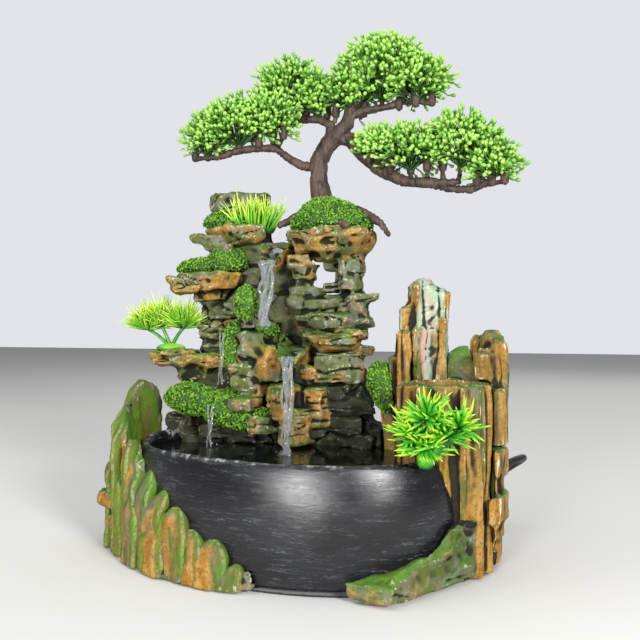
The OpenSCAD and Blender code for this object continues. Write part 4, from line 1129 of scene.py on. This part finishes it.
def smooth_line(p, steps):
    """Points on a Catmull-Rom curve through p."""
    p = np.asarray(p, float)
    q = np.vstack([2 * p[0] - p[1], p, 2 * p[-1] - p[-2]])
    t = (np.arange(steps) / steps)[:, None]
    out = []
    for a, b, c, d in zip(q[:-3], q[1:-2], q[2:-1], q[3:]):
        squared = (2 * a - 5 * b + 4 * c - d) * t ** 2
        cubed = (3 * b - a - 3 * c + d) * t ** 3
        out.append(0.5 * (2 * b + (c - a) * t + squared + cubed))
    return np.vstack(out + [p[-1:]])


def coil_points():
    """A spiral inwards on the table and outwards on top of itself, from the south point to the west one."""
    turn = np.arange(0, COIL_TURNS + 1e-6, 1 / COIL_STEPS)
    r = np.interp(turn, (0, 3, 3.25, COIL_TURNS), (COIL_OUT, COIL_IN, COIL_IN, COIL_OUT))
    z = CORD_D / 2 + CORD_D * ramp(turn, 2.95, 3.3)
    a = -math.pi / 2 - 2 * math.pi * turn
    return np.stack([COIL_AT[0] + r * np.cos(a), COIL_AT[1] + r * np.sin(a), z], 1)


def build_cord():
    """The mains cord: part.scad's route to the coil, the coil, and the bend into the plug."""
    route = [CORD_EXIT - GLAND_WAY * 8, CORD_EXIT, (110.3, 82, 48.6), (113.2, 89.4, 48.6),
             (113, 97.3, 46.9), (109.7, 104.5, 43.5), (103.5, 109.9, 38.7), (95.7, 112.3, 32.6),
             (87.3, 111.6, 26.2), (76, 107.6, 17.5), (62.5, 101.9, 8.6), (49.5, 96.6, 3.8), (37, 92, 2.5),
             (24, 88.4, 2.25)]
    coil = coil_points()
    rise = (PLUG_AT[2] - coil[-1, 2]) / (math.pi / 2)
    bend = [coil[-1] + (TAIL_BEND * (math.cos(a) - 1), TAIL_BEND * math.sin(a), rise * a)
            for a in np.radians(np.arange(10, 91, 10))]
    led = smooth_line(route + [coil[0]], 2)[2:-1]
    line = np.vstack([led, coil, bend, [PLUG_AT - (5, 0, 0)]])
    curve = bpy.data.curves.new("power_cord_line", "CURVE")
    curve.dimensions = "3D"
    curve.bevel_depth = CORD_D / 2 * MM
    curve.bevel_resolution = 5
    curve.resolution_u = 4
    curve.use_fill_caps = True
    spline = curve.splines.new("BEZIER")
    spline.bezier_points.add(len(line) - 1)
    for point, at in zip(spline.bezier_points, line):
        point.co = at * MM
        point.handle_left_type = "AUTO"
        point.handle_right_type = "AUTO"
    curve.materials.append(CORD_BLACK)
    cord = bpy.data.objects.new("power_cord_line", curve)
    scene.collection.objects.link(cord)
    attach(cord, "root")
    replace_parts(cord, "power_cord", "power_cord_coil", "cord_tail")


def plastic(name, low, high, rough=0.4, grain=700, depth=0.00015, strength=0.3, **more):
    """Moulded plastic, rubber or metal: two near shades in soft patches over a fine grain."""
    s = Shader(name)
    fine = s.noise(grain, 4, 0.6)
    base = s.mix(s.span(s.noise(40, 3, 0.5), 0.35, 0.65), low, high)
    inputs = {"Base Color": base, "Roughness": s.span(fine, 0.3, 0.7, rough - 0.07, rough + 0.07),
              "Normal": s.bump(fine, strength, depth)}
    inputs.update({key.replace("_", " "): value for key, value in more.items()})
    return s.finish(inputs)


CORD_BLACK = plastic("cord_black", rgb(14, 14, 15), rgb(24, 24, 26), 0.42)
PLUG_BLACK = plastic("plug_black", rgb(15, 15, 16), rgb(26, 26, 28), 0.48, 900)
PUMP_PLASTIC = plastic("pump_plastic", rgb(22, 22, 24), rgb(34, 34, 36), 0.5, 1100)
WHITE_PLASTIC = plastic("white_plastic", rgb(226, 226, 222), rgb(238, 238, 236), 0.3)
GREY_PLASTIC = plastic("grey_plastic", rgb(138, 140, 146), rgb(160, 162, 168), 0.35)
CERAMIC = plastic("ceramic", rgb(232, 230, 222), rgb(244, 243, 238), 0.12, 400, strength=0.08)
CLEAR_RUBBER = plastic("clear_rubber", rgb(214, 222, 224), rgb(230, 236, 238), 0.25, Transmission_Weight=0.6)
SILICONE = plastic("silicone", rgb(222, 228, 230), rgb(236, 240, 242), 0.3, Transmission_Weight=0.5)
LENS = plastic("lens", rgb(232, 240, 248), rgb(246, 250, 255), 0.08, 500, strength=0.1,
               Transmission_Weight=0.85)
PIN_METAL = plastic("pin_metal", rgb(196, 197, 200), rgb(214, 215, 218), 0.22, 1500, strength=0.15,
                    Metallic=1.0)
CARRIED = (
    (PUMP_PLASTIC, ("pump_body", "pump_front_cover", "intake_grille")),
    (WHITE_PLASTIC, ("pump_impeller", "led_housing")),
    (GREY_PLASTIC, ("flow_regulator",)),
    (CERAMIC, ("impeller_shaft",)),
    (CLEAR_RUBBER, ("suction_cups", "spout_nozzle")),
    (SILICONE, ("riser_hose",)),
    (LENS, ("led_lens",)),
    (CORD_BLACK, ("lamp_lead", "pump_lead", "cord_gland")),
    (PLUG_BLACK, ("plug_body",)),
    (PIN_METAL, ("plug_pins",)),
)
for material, nodes in CARRIED:
    for node in nodes:
        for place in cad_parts[node].material_slots:
            place.material = material
        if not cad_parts[node].material_slots:
            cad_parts[node].data.materials.append(material)
build_cord()


# ---- Base and back cover ----

def build_felt():
    """The felt under the foot, kept under the bowl at the front."""
    s = Shader("felt")
    fibre = s.noise(900, 6, 0.75, distortion=1.5)
    base = s.mix(s.span(fibre, 0.35, 0.65), rgb(12, 12, 12), rgb(34, 34, 35))
    material = s.finish({"Base Color": base, "Roughness": 0.95, "Sheen Weight": 0.4,
                         "Normal": s.bump(fibre, 0.8, 0.0004)})
    mesh = remeshed([cad("base_felt")], 0.8, "felt_pad")
    p = points(mesh)
    p[:, 2] = np.clip(p[:, 2] + 0.06 * fractal(p, 1.4, 140, 2) * (p[:, 2] > 0.6), 0, GROUND)
    q = turned(p - BOWL_AT, -BOWL_YAW)
    out = np.hypot(q[:, 0] / BOWL_HALF[0], q[:, 1] / BOWL_HALF[1])
    in_front = (p[:, 1] < -20) & (p[:, 0] > -20)
    q[:, :2] /= np.where(in_front, np.maximum(out, 1), 1)[:, None]
    p[:, :2] = on_bowl(q)[:, :2]
    set_points(mesh, p)
    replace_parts(shown(mesh, material), "base_felt")


def cover_still(p):
    """The cover keeps its CAD surface everywhere but on its outer face."""
    return 1 - ramp(p[:, 1], 79.2, 80.2) * in_box(p, (-67, 70, 13), (19, 120, 63), 2.0)


build_felt()
rock("back_cover", DARK_ROCK, "rock_dark", 1.0, chip=(14, 14, 10), depth=1.2, layers=0.2, body="cover",
     still=cover_still, seed=22)

# ---- Stage ----

stage_shader = Shader("floor_pale")
FLOOR = stage_shader.finish({"Base Color": rgb(212, 211, 208), "Roughness": 0.9, "Specular IOR Level": 0.1})
floor = bpy.data.objects.new("floor", bpy.data.meshes.new("floor"))
floor.data.from_pydata([(-3, -3, 0), (3, -3, 0), (3, 3, 0), (-3, 3, 0)], [], [(0, 1, 2, 3)])
floor.data.materials.append(FLOOR)
scene.collection.objects.link(floor)


def light(name, at, size, power, towards=(0, 0, 0.1)):
    data = bpy.data.lights.new(name, "AREA")
    data.shape = "RECTANGLE"
    data.size, data.size_y = size
    data.energy = power
    obj = bpy.data.objects.new(name, data)
    obj.location = at
    obj.rotation_euler = (Vector(towards) - Vector(at)).to_track_quat("-Z", "Y").to_euler()
    scene.collection.objects.link(obj)


light("softbox_front", (-0.10, -1.27, 0.26), (0.26, 0.14), 13)
light("softbox_right", (0.86, -0.82, 0.52), (0.26, 0.2), 16)
light("softbox_left", (-0.9, -0.5, 0.9), (0.8, 0.8), 4)
light("softbox_top", (0.0, 0.2, 1.6), (2.0, 2.0), 12)
light("softbox_back", (0.3, 1.4, 0.9), (1.2, 0.8), 3)

world = bpy.data.worlds.new("studio")
scene.world = world
world.use_nodes = True
sky = world.node_tree
seen = sky.nodes.new("ShaderNodeLightPath")
strength = sky.nodes.new("ShaderNodeMapRange")
strength.inputs["To Min"].default_value = 0.38
strength.inputs["To Max"].default_value = 0.92
sky.links.new(seen.outputs["Is Camera Ray"], strength.inputs["Value"])
sky.links.new(strength.outputs[0], sky.nodes["Background"].inputs[1])
sky.nodes["Background"].inputs[0].default_value = (0.82, 0.84, 0.88, 1)
scene.view_settings.view_transform = "Standard"
